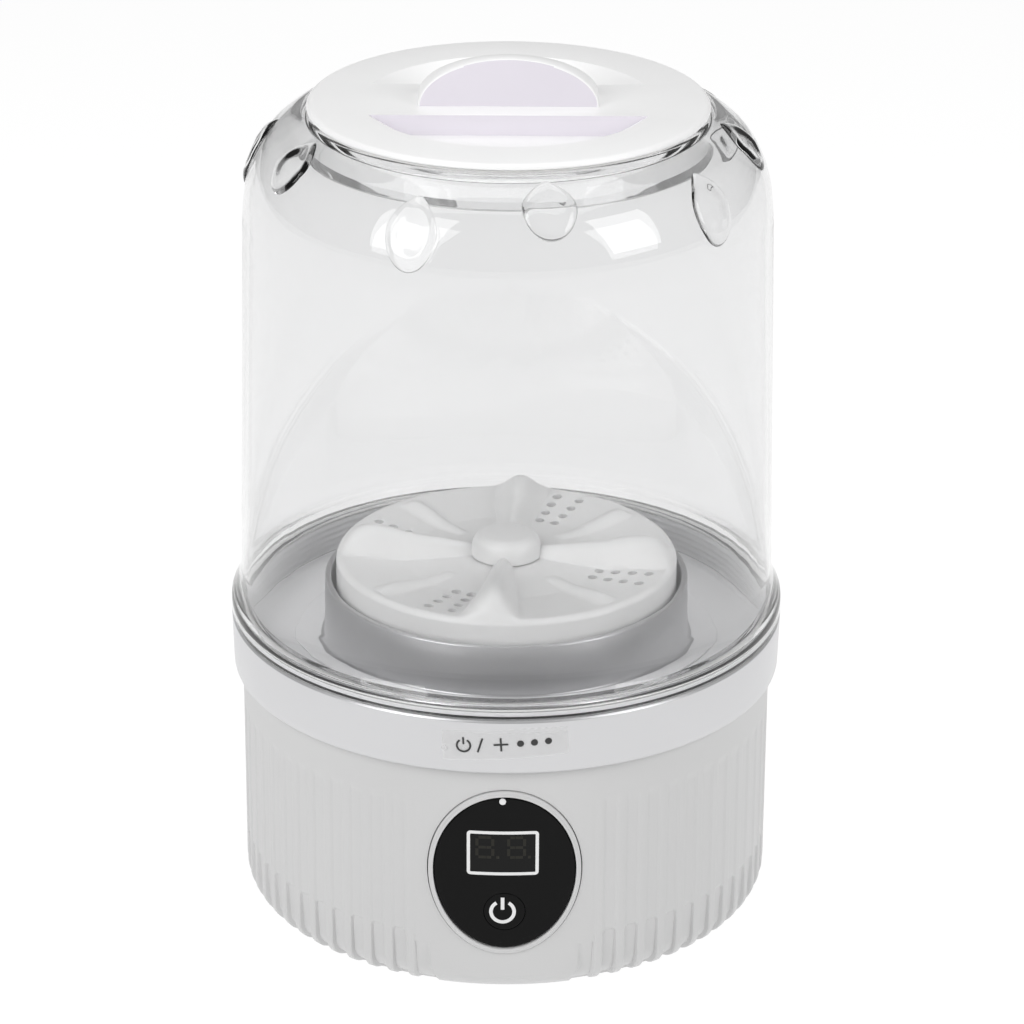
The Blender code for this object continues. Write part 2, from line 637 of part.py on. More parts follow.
def drain_holes():
    """Four groups of two rows of holes, as one cutter."""
    hole_r = 1.5 * MM
    level = (PULSATOR_TOP - 2.0) * MM
    mesh = bpy.data.meshes.new("drain_holes")
    build = bmesh.new()
    for group in range(4):
        for radius in (29.5, 34.7, 39.9, 45.1):
            for side in (-4.8, 4.8):
                x, y = around(radius, 65.0 + 90.0 * group + side)
                made = bmesh.ops.create_cone(
                    build, cap_ends=True, segments=6, radius1=hole_r, radius2=hole_r, depth=12 * MM
                )
                bmesh.ops.translate(build, verts=made["verts"], vec=(x * MM, y * MM, level))
    build.to_mesh(mesh)
    build.free()
    return place("drain_holes", mesh, None)


# ---------------------------------------------------------------- tub and lid


def tub_seal():
    return turned("tub_seal", "seal_white", ring_profile(NECK_R + 0.5, BOWL_R, BOWL_RIM + GAP, SEAL_TOP))


def wash_tub():
    """The clear tub: a threaded neck below, a tall wall, a round shoulder and a mouth turned inwards."""
    seat = SEAL_TOP + GAP
    skirt = BAND_TOP + 0.6
    skirt_r = BOWL_R + 0.6
    profile = [(57.7, TUB_TOP), (65.4, 243.6), (70.1, 239.6), (73.4, 234.6), (76.0, 228.0)]
    profile += [(77.2, 219.0), (79.5, 120.7), (79.9, 106.5), (81.7, 99.5), (FLANGE_R, 96.5)]
    profile += [(FLANGE_R, skirt), (skirt_r, skirt), (skirt_r, seat), (NECK_R, seat)]
    neck_inner_r = NECK_R - 1.8
    ledge = seat + 1.6
    profile += [(NECK_R, NECK_BOTTOM), (neck_inner_r, NECK_BOTTOM), (neck_inner_r, ledge)]
    profile += [(78.2, ledge + 0.4), (77.9, 106.5), (77.1, 112.0), (74.8, 219.0), (73.5, 227.0)]
    profile += [(71.0, 233.0), (67.2, 238.0), (57.5, 243.6)]
    profile += [(57.5, 236.5), (MOUTH_R, 236.5), (MOUTH_R, TUB_TOP)]
    return turned("wash_tub", "clear_tub", profile)


def lid_seal():
    return turned("lid_seal", "seal_white", ring_profile(MOUTH_R + 0.3, 57.3, TUB_TOP + GAP, TUB_TOP + 1.1))


def lid():
    """The screw lid: a disc with a round dish, a strip left across it and a half-moon grip on the strip."""
    edge = TUB_TOP + 1.4
    floor = LID_TOP - DISH_DEPTH
    plug_r = MOUTH_R - 0.7
    profile = [(0.0, LID_TOP), (LID_R - 1.6, LID_TOP), (LID_R - 0.4, LID_TOP - 0.5)]
    profile += [(LID_R, edge + 0.5), (LID_R - 0.3, edge)]
    profile += [(plug_r, edge), (plug_r, 238.6), (plug_r - 1.8, 238.6), (plug_r - 1.8, edge - 0.6)]
    profile += [(DISH_R + 3.0, edge - 0.8), (DISH_R - 8.0, floor - 1.8), (0.0, floor - 1.8)]
    disc = turned("lid", "lid_white", profile)
    brim = LID_TOP + 2.0
    cone = [(0.0, brim), (DISH_R + 3.1, brim), (DISH_R - 9.5, floor), (0.0, floor)]
    for name, y in (("front_dish", -1), ("rear_dish", 1)):
        scoop = turned(name, None, cone)
        near = block(name + "_side", None, (-60.0, STRIP_HALF, 230.0), (60.0, 60.0, 260.0))
        near.location.y *= y
        boolean(scoop, near, "INTERSECT")
        cut(disc, scoop)
    join(disc, grip())
    return disc


def grip():
    """The half-moon on the lid, thicker at its foot than at its crest."""
    mesh = bpy.data.meshes.new("grip")
    build = bmesh.new()
    bmesh.ops.create_cone(
        build, cap_ends=True, segments=32, radius1=GRIP_HALF * MM, radius2=GRIP_HALF * MM, depth=13.2 * MM
    )
    bmesh.ops.rotate(build, verts=build.verts, matrix=Matrix.Rotation(math.pi / 2, 3, "X"))
    bmesh.ops.scale(build, vec=(1.0, 1.0, GRIP_HEIGHT / GRIP_HALF), verts=build.verts)
    for vert in build.verts:
        rise = max(vert.co.z, 0.0) / (GRIP_HEIGHT * MM)
        vert.co.y *= 1.0 - 0.6 * rise
    below = [vert for vert in build.verts if vert.co.z < -0.002]
    for vert in below:
        vert.co.z = -0.002
    bmesh.ops.remove_doubles(build, verts=build.verts, dist=0.00005)
    build.to_mesh(mesh)
    build.free()
    obj = place("grip", mesh, None)
    obj.location = (0.0, 0.0, LID_TOP * MM)
    return obj


def main():
    base_housing()
    band_ring()
    wash_bowl()
    pulsator_collar()
    bottom_cover()
    control_panel()
    control_board()
    power_pack()
    leads()
    gearbox()
    drive_line()
    pulsator()
    tub_seal()
    wash_tub()
    lid_seal()
    lid()


main()
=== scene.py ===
# %% [markdown]
# # A portable mini washer
# The washer is a fluted white drum with a motor inside, a silver band, a shallow bowl with a turning disc,
# a clear tub that screws onto the bowl, and a screw lid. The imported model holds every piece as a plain
# solid. Here the pieces that show are made again with finer shapes, and all of them get their finishes.
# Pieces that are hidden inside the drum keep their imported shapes, since nothing finer would ever be seen.

# %% The fixed frame
import math

import bmesh
import bpy
from mathutils import Matrix, Vector


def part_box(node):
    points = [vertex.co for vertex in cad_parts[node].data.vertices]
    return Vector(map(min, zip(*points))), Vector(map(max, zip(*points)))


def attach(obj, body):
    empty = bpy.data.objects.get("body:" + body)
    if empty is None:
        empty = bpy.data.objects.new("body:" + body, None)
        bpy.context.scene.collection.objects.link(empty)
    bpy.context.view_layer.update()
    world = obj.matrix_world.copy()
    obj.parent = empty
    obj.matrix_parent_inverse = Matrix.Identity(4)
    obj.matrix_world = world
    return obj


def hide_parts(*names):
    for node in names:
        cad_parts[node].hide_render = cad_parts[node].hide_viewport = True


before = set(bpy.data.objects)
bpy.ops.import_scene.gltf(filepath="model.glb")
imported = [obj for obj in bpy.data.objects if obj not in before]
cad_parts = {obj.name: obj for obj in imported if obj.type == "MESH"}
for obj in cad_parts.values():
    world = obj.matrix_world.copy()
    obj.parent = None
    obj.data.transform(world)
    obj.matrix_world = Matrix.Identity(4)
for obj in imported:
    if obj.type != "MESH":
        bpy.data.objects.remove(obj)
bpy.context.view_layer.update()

# %% [markdown]
# ## Sizes
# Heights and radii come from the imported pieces, so a shape made here lands where the model has it. The
# measures are in millimetres above the surface that the washer stands on, and MM turns them into metres.

# %% Driving sizes
MM = 0.001


def span(node):
    """Radius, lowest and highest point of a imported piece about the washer's axis, in mm."""
    low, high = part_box(node)
    return high.x / MM, low.z / MM, high.z / MM


def front_oval(node):
    """Half width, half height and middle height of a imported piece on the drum's front, in mm."""
    low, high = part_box(node)
    return high.x / MM, (high.z - low.z) / 2 / MM, (low.z + high.z) / 2 / MM


DRUM_R, DRUM_BOTTOM, _ = span("base_housing")
BAND_R, BAND_BOTTOM, BAND_TOP = span("band_ring")
_, _, BOWL_RIM = span("wash_bowl")
COLLAR_FOOT_R, COLLAR_BOTTOM, COLLAR_TOP = span("pulsator_collar")
PULSATOR_R, PULSATOR_BOTTOM, _ = span("pulsator")
_, TUB_BOTTOM, TUB_TOP = span("wash_tub")
LID_R, LID_BOTTOM, GRIP_TOP = span("lid")
BEZEL_HALF_X, BEZEL_HALF_Z, _ = front_oval("panel_bezel")
LENS_HALF_X, LENS_HALF_Z, PANEL_Z = front_oval("panel_lens")
KEY_R, _, KEY_Z = front_oval("power_button")
print(f"drum radius {DRUM_R:.1f}, band {BAND_R:.1f}, tub top {TUB_TOP:.1f}, grip top {GRIP_TOP:.1f}")

# %% [markdown]
# ## Camera, floor and light
# The washer is seen from a little above, from more than a metre away with a long lens, which keeps its
# sides nearly parallel. It stands on a white sweep. Two tall soft boxes, one to each side, leave the
# window-like patches that show on the tub's shoulder. A third, from above and a little behind, fills the
# bowl, and an even white surround keeps the shaded sides from going dark. Area lamps were chosen over
# points, because a curved clear wall mirrors the lamp's own outline.

# %% Camera
LENS_MM = 147.66
DISTANCE = 1.26
PITCH = math.radians(23.5)
ROLL = math.radians(0.3)
AIM_HEIGHT = 0.1207
SIDE_STEP = 0.0016

camera_data = bpy.data.cameras.new("studio_camera")
camera_data.lens = LENS_MM
camera_data.sensor_width = 36.0
camera_data.clip_end = 100.0
camera = bpy.data.objects.new("studio_camera", camera_data)
bpy.context.scene.collection.objects.link(camera)
camera.matrix_world = (
    Matrix.Translation((SIDE_STEP, -DISTANCE * math.cos(PITCH), AIM_HEIGHT + DISTANCE * math.sin(PITCH)))
    @ Matrix.Rotation(math.pi / 2 - PITCH, 4, "X")
    @ Matrix.Rotation(ROLL, 4, "Z")
)
bpy.context.scene.camera = camera
bpy.context.scene.view_settings.view_transform = "Standard"
print("camera at", [round(x, 3) for x in camera.location])


# %% Lights
LIT_HEIGHT = 0.14
SURROUND = 0.26


def soft_box(name, direction, distance, size, power):
    """A rectangular lamp that faces the middle of the washer."""
    lamp = bpy.data.lights.new(name, "AREA")
    lamp.shape = "RECTANGLE"
    lamp.size, lamp.size_y = size
    lamp.energy = power
    holder = bpy.data.objects.new(name, lamp)
    bpy.context.scene.collection.objects.link(holder)
    back = Vector(direction).normalized()
    holder.location = Vector((0.0, 0.0, LIT_HEIGHT)) + back * distance
    holder.rotation_mode = "QUATERNION"
    holder.rotation_quaternion = back.to_track_quat("Z", "Y")


soft_box("left_box", (-0.60, -0.59, 0.53), 1.1, (0.54, 0.80), 5.2)
soft_box("right_box", (0.72, -0.50, 0.50), 1.1, (0.44, 0.68), 3.8)
soft_box("top_box", (0.0, 0.25, 1.0), 1.2, (0.9, 0.9), 5.2)

world = bpy.data.worlds.new("studio_air")
world.use_nodes = True
background = world.node_tree.nodes["Background"]
background.inputs["Color"].default_value = (1.0, 1.0, 1.0, 1.0)
background.inputs["Strength"].default_value = SURROUND
bpy.context.scene.world = world
print("three soft boxes and an even white surround")

# %% [markdown]
# ## Finishes
# Moulded plastic is never quite even: it has a fine grain from the mould, and its gloss varies a little
# where it has been handled. One helper builds that from two noises read in Object coordinates, so the
# grain keeps its size on every piece. Only the numbers differ from one finish to the next.


# %% A moulded finish
GRAIN_DEPTH = 0.0004
SMOOTHEST = 0.02
CLOUD_SCALE = 28.0


def moulded(
    name, colour, roughness, metallic=0.0, grain=900.0, bump=0.04, cloud=0.03, gloss_spread=0.06, shine=0.5
):
    """A finish with fine grain, a faint cloud in its colour and a little variation in its gloss."""
    material = bpy.data.materials.new(name)
    material.use_nodes = True
    nodes = material.node_tree.nodes
    links = material.node_tree.links
    shader = nodes["Principled BSDF"]
    shader.inputs["Metallic"].default_value = metallic
    shader.inputs["Specular IOR Level"].default_value = shine
    place = nodes.new("ShaderNodeTexCoord")

    broad = nodes.new("ShaderNodeTexNoise")
    broad.inputs["Scale"].default_value = CLOUD_SCALE
    broad.inputs["Detail"].default_value = 3.0
    links.new(place.outputs["Object"], broad.inputs["Vector"])
    tint = nodes.new("ShaderNodeMix")
    tint.data_type = "RGBA"
    tint.inputs["A"].default_value = (*[c * (1.0 - cloud) for c in colour], 1.0)
    tint.inputs["B"].default_value = (*[min(1.0, c * (1.0 + cloud)) for c in colour], 1.0)
    links.new(broad.outputs["Fac"], tint.inputs["Factor"])
    links.new(tint.outputs["Result"], shader.inputs["Base Color"])

    gloss = nodes.new("ShaderNodeMapRange")
    gloss.inputs["To Min"].default_value = max(SMOOTHEST, roughness - gloss_spread)
    gloss.inputs["To Max"].default_value = roughness + gloss_spread
    links.new(broad.outputs["Fac"], gloss.inputs["Value"])
    links.new(gloss.outputs["Result"], shader.inputs["Roughness"])

    fine = nodes.new("ShaderNodeTexNoise")
    fine.inputs["Scale"].default_value = grain
    fine.inputs["Detail"].default_value = 2.0
    links.new(place.outputs["Object"], fine.inputs["Vector"])
    relief = nodes.new("ShaderNodeBump")
    relief.inputs["Strength"].default_value = bump
    relief.inputs["Distance"].default_value = GRAIN_DEPTH
    links.new(fine.outputs["Fac"], relief.inputs["Height"])
    links.new(relief.outputs["Normal"], shader.inputs["Normal"])
    return material


# %% [markdown]
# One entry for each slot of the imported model. The plain white mouldings differ mostly in how bright they
# are. The silver parts are painted or satin rather than bare metal, so they are only partly metallic. A
# black panel would mirror the white surround and look grey, so it gets less shine than other plastic.

# %% The finishes
FINISHES = {
    "housing_white": moulded("drum_white", (0.62, 0.62, 0.62), 0.42),
    "band_silver": moulded(
        "band_silver", (0.64, 0.64, 0.65), 0.30, metallic=0.6, grain=2600.0, bump=0.06
    ),
    "bowl_silver": moulded(
        "bowl_silver", (0.80, 0.80, 0.81), 0.34, metallic=0.15, grain=2600.0, bump=0.05
    ),
    "collar_silver": moulded(
        "collar_satin", (0.56, 0.56, 0.57), 0.30, metallic=0.8, grain=3200.0, bump=0.08
    ),
    "lid_white": moulded("lid_white", (0.97, 0.97, 0.97), 0.38, bump=0.02),
    "pulsator_white": moulded("pulsator_white", (0.68, 0.68, 0.68), 0.34),
    "seal_white": moulded("gasket_white", (0.82, 0.82, 0.81), 0.6, grain=1500.0),
    "panel_black": moulded(
        "panel_black", (0.006, 0.006, 0.006), 0.16, bump=0.01, cloud=0.2, gloss_spread=0.03, shine=0.09
    ),
    "rubber_grey": moulded("foot_rubber", (0.45, 0.45, 0.45), 0.75, grain=1800.0, bump=0.2),
    "board_green": moulded("board_green", (0.02, 0.16, 0.07), 0.45, grain=600.0, bump=0.15),
    "black_plastic": moulded("black_plastic", (0.02, 0.02, 0.02), 0.5, bump=0.12),
    "cell_blue": moulded("cell_sleeve", (0.05, 0.2, 0.55), 0.3),
    "gear_nylon": moulded("gear_nylon", (0.85, 0.84, 0.78), 0.48),
    "steel": moulded("bright_steel", (0.6, 0.6, 0.6), 0.28, metallic=1.0, grain=2200.0, bump=0.1),
    "brass": moulded("brass", (0.75, 0.55, 0.25), 0.32, metallic=1.0, grain=2200.0, bump=0.1),
    "wire_red": moulded("wire_sleeve", (0.6, 0.03, 0.03), 0.45),
}
# Painted light: a lilac tint for the lid's upright faces that face the front, standing in for the tinted
# light they catch.
LILAC_PAINTED_LIGHT = moulded("lid_painted_lilac_light", (0.80, 0.765, 0.83), 0.40, bump=0.02)
LEGEND = moulded("legend_white", (0.80, 0.80, 0.80), 0.45, bump=0.02)
MARK_INK = moulded("label_ink", (0.03, 0.03, 0.03), 0.5, bump=0.02, cloud=0.2)
SEGMENT_OFF = moulded("segment_off", (0.026, 0.025, 0.021), 0.3, bump=0.02, cloud=0.2, shine=0.1)
WINDOW_SMOKE = moulded("window_smoke", (0.011, 0.011, 0.011), 0.2, bump=0.02, cloud=0.2, shine=0.1)
print(len(bpy.data.materials), "materials")

# %% [markdown]
# The tub is clear plastic with real walls, so it gets a real glass shader and bends what is behind it.
# A lamp's light would have to find its way through by chance, which gives a noisy picture, so a lamp's
# ray meets a nearly clear shader in its place.


# %% Clear plastic
def clear_plastic():
    """Clear moulded plastic whose gloss and surface waver faintly along its height."""
    material = bpy.data.materials.new("clear_plastic")
    material.use_nodes = True
    nodes = material.node_tree.nodes
    links = material.node_tree.links
    shader = nodes["Principled BSDF"]
    shader.inputs["Base Color"].default_value = (0.895, 0.896, 0.898, 1.0)
    shader.inputs["Transmission Weight"].default_value = 1.0
    shader.inputs["IOR"].default_value = 1.47
    place = nodes.new("ShaderNodeTexCoord")
    stretch = nodes.new("ShaderNodeMapping")
    stretch.inputs["Scale"].default_value = (40.0, 40.0, 5.0)
    links.new(place.outputs["Object"], stretch.inputs["Vector"])
    flow = nodes.new("ShaderNodeTexNoise")
    flow.inputs["Scale"].default_value = 1.0
    flow.inputs["Detail"].default_value = 2.0
    links.new(stretch.outputs["Vector"], flow.inputs["Vector"])
    gloss = nodes.new("ShaderNodeMapRange")
    gloss.inputs["To Min"].default_value = 0.0
    gloss.inputs["To Max"].default_value = 0.035
    links.new(flow.outputs["Fac"], gloss.inputs["Value"])
    links.new(gloss.outputs["Result"], shader.inputs["Roughness"])
    relief = nodes.new("ShaderNodeBump")
    relief.inputs["Strength"].default_value = 0.10
    relief.inputs["Distance"].default_value = 0.0008
    links.new(flow.outputs["Fac"], relief.inputs["Height"])
    links.new(relief.outputs["Normal"], shader.inputs["Normal"])
    through = nodes.new("ShaderNodeBsdfTransparent")
    through.inputs["Color"].default_value = (0.93, 0.93, 0.93, 1.0)
    kind = nodes.new("ShaderNodeLightPath")
    choice = nodes.new("ShaderNodeMixShader")
    links.new(kind.outputs["Is Shadow Ray"], choice.inputs["Fac"])
    links.new(shader.outputs["BSDF"], choice.inputs[1])
    links.new(through.outputs["BSDF"], choice.inputs[2])
    links.new(choice.outputs["Shader"], nodes["Material Output"].inputs["Surface"])
    return material


FINISHES["clear_tub"] = clear_plastic()
print("clear plastic: index of refraction 1.47")

# %% [markdown]
# ## Shaping helpers
# Nearly every piece of a washer is turned about one axis, so the main helper spins an outline. A corner
# of the outline may be rounded, which is a vertex bevel on the outline before the spin, and an edge may
# be cut into rows where the surface is to be shaped afterwards.


# %% Turned shapes
def turned(outline, steps=180):
    """Spins corners in mm about Z: (radius, height), with a rounding and a number of rows where wanted.

    The outline closes on itself, or on the axis where its first and last corners lie there.
    """
    build = bmesh.new()
    corners = []
    chain = []
    for values, following in zip(outline, outline[1:] + outline[:1]):
        start = Vector((values[0] * MM, 0.0, values[1] * MM))
        end = Vector((following[0] * MM, 0.0, following[1] * MM))
        count = values[3] if len(values) > 3 else 1
        chain += [build.verts.new(start.lerp(end, row / count)) for row in range(count)]
        corners.append(chain[-count])
    for start, end in zip(chain, chain[1:] + chain[:1]):
        if start.co.x > 0.0 or end.co.x > 0.0:
            build.edges.new((start, end))
    for corner, values in zip(corners, outline):
        if len(values) > 2 and values[2]:
            segments = max(3, min(12, round(3 + values[2])))
            bmesh.ops.bevel(
                build, geom=[corner], offset=values[2] * MM, offset_type="OFFSET", affect="VERTICES",
                segments=segments, profile=0.5, material=-1, clamp_overlap=True,
            )
    bmesh.ops.spin(
        build, geom=build.verts[:] + build.edges[:], cent=(0.0, 0.0, 0.0), axis=(0.0, 0.0, 1.0),
        angle=2.0 * math.pi, steps=steps, use_merge=True, use_duplicate=False,
    )
    bmesh.ops.remove_doubles(build, verts=build.verts, dist=0.000002)
    bmesh.ops.recalc_face_normals(build, faces=build.faces)
    return build


# %% [markdown]
# The control panel's pieces are ovals that follow the drum. Each is turned lying flat, with its heights
# given as distances from the drum's axis. It is then stretched to its oval, stood up facing forwards and
# bent back until every point is at its own distance from the axis.


# %% Standing a flat shape on the drum
def face_front(build):
    """Lays an upright shape down along Y, with its top towards the front."""
    bmesh.ops.rotate(build, verts=build.verts, matrix=Matrix.Rotation(math.pi / 2, 3, "X"))


def stand_up(build, centre, stretch=(1.0, 1.0)):
    """Turns a flat shape to face -Y at (x, z) in mm, and bends it round the washer's axis."""
    bmesh.ops.scale(build, vec=(stretch[0], stretch[1], 1.0), verts=build.verts)
    face_front(build)
    bmesh.ops.translate(build, verts=build.verts, vec=(centre[0] * MM, 0.0, centre[1] * MM))
    for vert in build.verts:
        vert.co.y = -math.sqrt(vert.co.y ** 2 - vert.co.x ** 2)
    return build


# %% [markdown]
# Every finished shape goes through one helper, which names it, shades it smooth except at real edges and
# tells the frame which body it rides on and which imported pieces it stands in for. Openings and joins are
# made by exact Booleans in a second helper, so a cut leaves a clean closed solid.


# %% Turning a shape into a piece
SHARP_DEGREES = 32.0


def piece(name, build, finish, body, nodes=()):
    """Names a finished shape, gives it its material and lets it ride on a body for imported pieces."""
    mesh = bpy.data.meshes.new(name)
    build.to_mesh(mesh)
    build.free()
    mesh.shade_smooth()
    mesh.set_sharp_from_angle(angle=math.radians(SHARP_DEGREES))
    made = bpy.data.objects.new(name, mesh)
    bpy.context.scene.collection.objects.link(made)
    made.data.materials.append(finish)
    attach(made, body)
    if nodes:
        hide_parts(*nodes)
    print(f"{name}: {len(mesh.polygons)} faces, rides on {body}")
    return made


# %% Cutting and joining
def shaped(build, cutters=(), additions=()):
    """Takes cutters away from a shape and joins additions to it. All of them are used up."""
    def holder(name, source):
        mesh = bpy.data.meshes.new(name)
        source.to_mesh(mesh)
        source.free()
        made = bpy.data.objects.new(name, mesh)
        bpy.context.scene.collection.objects.link(made)
        return made

    work = holder("work", build)
    helpers = []
    for operation, others in (("UNION", additions), ("DIFFERENCE", cutters)):
        for other in others:
            helper = holder("helper", other)
            helpers.append(helper)
            step = work.modifiers.new(operation.lower(), "BOOLEAN")
            step.operation = operation
            step.solver = "EXACT"
            step.object = helper
    graph = bpy.context.evaluated_depsgraph_get()
    result = bmesh.new()
    result.from_object(work, graph)
    for made in [work, *helpers]:
        bpy.data.objects.remove(made, do_unlink=True)
    return result


# %% Bars and a smooth step
def rod(radius, bottom, top, sides):
    """An upright round bar between two heights in mm."""
    build = bmesh.new()
    bmesh.ops.create_cone(
        build, cap_ends=True, segments=sides, radius1=radius * MM, radius2=radius * MM,
        depth=(top - bottom) * MM,
    )
    bmesh.ops.translate(build, verts=build.verts, vec=(0.0, 0.0, (bottom + top) / 2 * MM))
    return build


def bar(low, high, rounding=0.0, segments=3):
    """A box between two corners in mm, with rounded edges."""
    build = bmesh.new()
    bmesh.ops.create_cube(build, size=1.0)
    bmesh.ops.scale(build, vec=[(b - a) * MM for a, b in zip(low, high)], verts=build.verts)
    bmesh.ops.translate(build, verts=build.verts, vec=[(a + b) / 2 * MM for a, b in zip(low, high)])
    if rounding:
        bmesh.ops.bevel(
            build, geom=build.edges[:], offset=rounding * MM, offset_type="OFFSET", affect="EDGES",
            segments=segments, profile=0.5, material=-1, clamp_overlap=True,
        )
    return build


def smooth_step(low, high, value):
    t = min(1.0, max(0.0, (value - low) / (high - low)))
    return t * t * (3.0 - 2.0 * t)


# %% [markdown]
# ## The drum
# The drum is one moulding with shallow flutes all round, except on a smooth field about the panel. Near
# its foot the flutes turn into deeper pockets between narrow ribs. It is turned with closely spaced rows
# and then each point is pushed in along its own normal by the depth of the flute there.

# %% Flutes
FLUTES = 70
PITCH_DEGREES = 360.0 / FLUTES
STEPS_PER_FLUTE = 16
FIRST_RIB = 20.25
RIB_HALF = 1.03
FLUTE_TOP = 62.5
POCKET_TOP = 19.3
FLUTE_DEPTH = 0.30
POCKET_DEPTH = 1.05


def flute_depth(x, y, z):
    """How far the drum's wall is set back at a point, in mm. Bearings count from the panel, both ways."""
    away = abs(math.degrees(math.atan2(x, -y)))
    turns = (away - FIRST_RIB) / PITCH_DEGREES
    off_rib = abs(turns - round(turns)) * PITCH_DEGREES
    low_edge = 14.4 + 4.8 * max(0.0, (z - DRUM_BOTTOM) / 16.0) ** 1.6
    if turns > -0.2:
        between = smooth_step(RIB_HALF - 0.2, RIB_HALF + 0.25, off_rib)
        corner = 0.9 * smooth_step(PITCH_DEGREES / 2 - 0.9, RIB_HALF, off_rib)
        pocket_top = POCKET_TOP - corner
    else:
        between = smooth_step(low_edge, low_edge + 0.5, away)
        pocket_top = POCKET_TOP - 1.4
    flute = between * smooth_step(FLUTE_TOP + 1.0, FLUTE_TOP - 2.0, z) if turns > -0.2 else 0.0
    pocket = between * smooth_step(pocket_top + 0.3, pocket_top - 0.3, z)
    deepening = 0.45 + 0.55 * smooth_step(POCKET_TOP, DRUM_BOTTOM + 6.0, z)
    return FLUTE_DEPTH * flute + POCKET_DEPTH * deepening * pocket


# %% The drum's shell
WALL = 2.3
CORNER_R = 9.0
COVER_OPENING_R = 67.4
SPIGOT_R = DRUM_R - 1.0
SPIGOT_TOP = BAND_BOTTOM + 6.0
SHOULDER = BAND_BOTTOM - 0.3
FLUTED_BELOW = 72.0

drum = turned(
    [
        (SPIGOT_R, SPIGOT_TOP), (SPIGOT_R, SHOULDER),
        (DRUM_R, SHOULDER, 0.0, 4), (DRUM_R, 64.0, 0.0, 5), (DRUM_R, 60.0, 0.0, 8),
        (DRUM_R, 21.0, 0.0, 12), (DRUM_R, 16.0, 0.0, 2), (DRUM_R, DRUM_BOTTOM, CORNER_R),
        (COVER_OPENING_R, DRUM_BOTTOM), (COVER_OPENING_R, DRUM_BOTTOM + WALL),
        (DRUM_R - CORNER_R, DRUM_BOTTOM + WALL), (DRUM_R - WALL, DRUM_BOTTOM + CORNER_R),
        (DRUM_R - WALL, SPIGOT_TOP),
    ],
    steps=FLUTES * STEPS_PER_FLUTE,
)
for vert in drum.verts:
    radius = math.hypot(vert.co.x, vert.co.y) / MM
    on_wall = radius > DRUM_R - CORNER_R + 0.1 and vert.normal.xy.length > 0.15
    facing_out = vert.normal.x * vert.co.x + vert.normal.y * vert.co.y > 0.0
    if on_wall and facing_out and vert.co.z / MM < FLUTED_BELOW:
        vert.co -= vert.normal * flute_depth(vert.co.x, vert.co.y, vert.co.z / MM) * MM
print("drum shell:", len(drum.faces), "faces")


# %% The openings in the drum
def oval_cutter(half, centre_z, near, far):
    """An oval bar along Y, for a hole through the drum's front."""
    build = rod(1.0 / MM, near, far, sides=96)
    bmesh.ops.scale(build, vec=(half[0] * MM, half[1] * MM, 1.0), verts=build.verts)
    face_front(build)
    bmesh.ops.translate(build, verts=build.verts, vec=(0.0, 0.0, centre_z * MM))
    return build


PORT_Z = 22.0
PORT_HALF = (5.2, 2.3)
GAP = 0.3
INSIDE, OUTSIDE = 70.0, 90.0

panel_hole = oval_cutter((BEZEL_HALF_X + GAP, BEZEL_HALF_Z + GAP), PANEL_Z, INSIDE, OUTSIDE)
port_hole = bar(
    (-PORT_HALF[0], INSIDE, PORT_Z - PORT_HALF[1]), (PORT_HALF[0], OUTSIDE, PORT_Z + PORT_HALF[1]),
    rounding=1.2,
)
drum = shaped(drum, cutters=[panel_hole, port_hole])
piece("fluted_drum", drum, FINISHES["housing_white"], "root", ["base_housing"])

# %% [markdown]
# ## The silver band
# The band stands proud of the drum and hides the joint between drum and bowl. Its lower edge is rounded
# and its face leans out a little towards the top. A ring like this could be a bevelled tube, but a turned
# outline gives each of its four edges a rounding of its own.

# %% Band
BOWL_OUTER_R = 80.6
BAND_BORE = BOWL_OUTER_R + 0.3
band = turned(
    [
        (BAND_R - 0.5, BAND_TOP), (BAND_R, BAND_TOP - 0.5, 0.2), (82.5, 79.0, 1.0),
        (82.35, BAND_BOTTOM, 1.5), (BAND_BORE, BAND_BOTTOM), (BAND_BORE, BAND_TOP),
    ],
    steps=240,
)
piece("silver_band", band, FINISHES["band_silver"], "root", ["band_ring"])

# %% [markdown]
# ## The bowl
# The bowl's wall carries the thread that the tub screws into. From outside the tub it reads as five fine
# ridges under the white gasket, so the outline gets five rounded ridges on its inner side. Where the wall
# leaves the band there is a narrow groove, and its faces are painted black as painted shade: the joint is
# dark only because it lies in shade, and light through the clear skirt above would brighten it.

# %% Bowl
BOWL_FLOOR = 82.0
BOWL_UNDER = BOWL_FLOOR - 2.2
BOWL_INNER_R = 78.6
BOWL_EDGE = BOWL_RIM - 4.4
GROOVE_R = BOWL_OUTER_R - 1.1
GROOVE_BOTTOM, GROOVE_TOP = BAND_TOP - 0.6, BAND_TOP + 0.9
HUB_BOTTOM, HUB_TOP = 69.0, 93.3
BUSH_R, BUSH_SEAT = 7.6, 91.8
SHAFT_HOLE_R = 4.0
RIDGES = 5
RIDGE_PITCH = 1.9
LOWEST_RIDGE = BOWL_FLOOR + 2.8

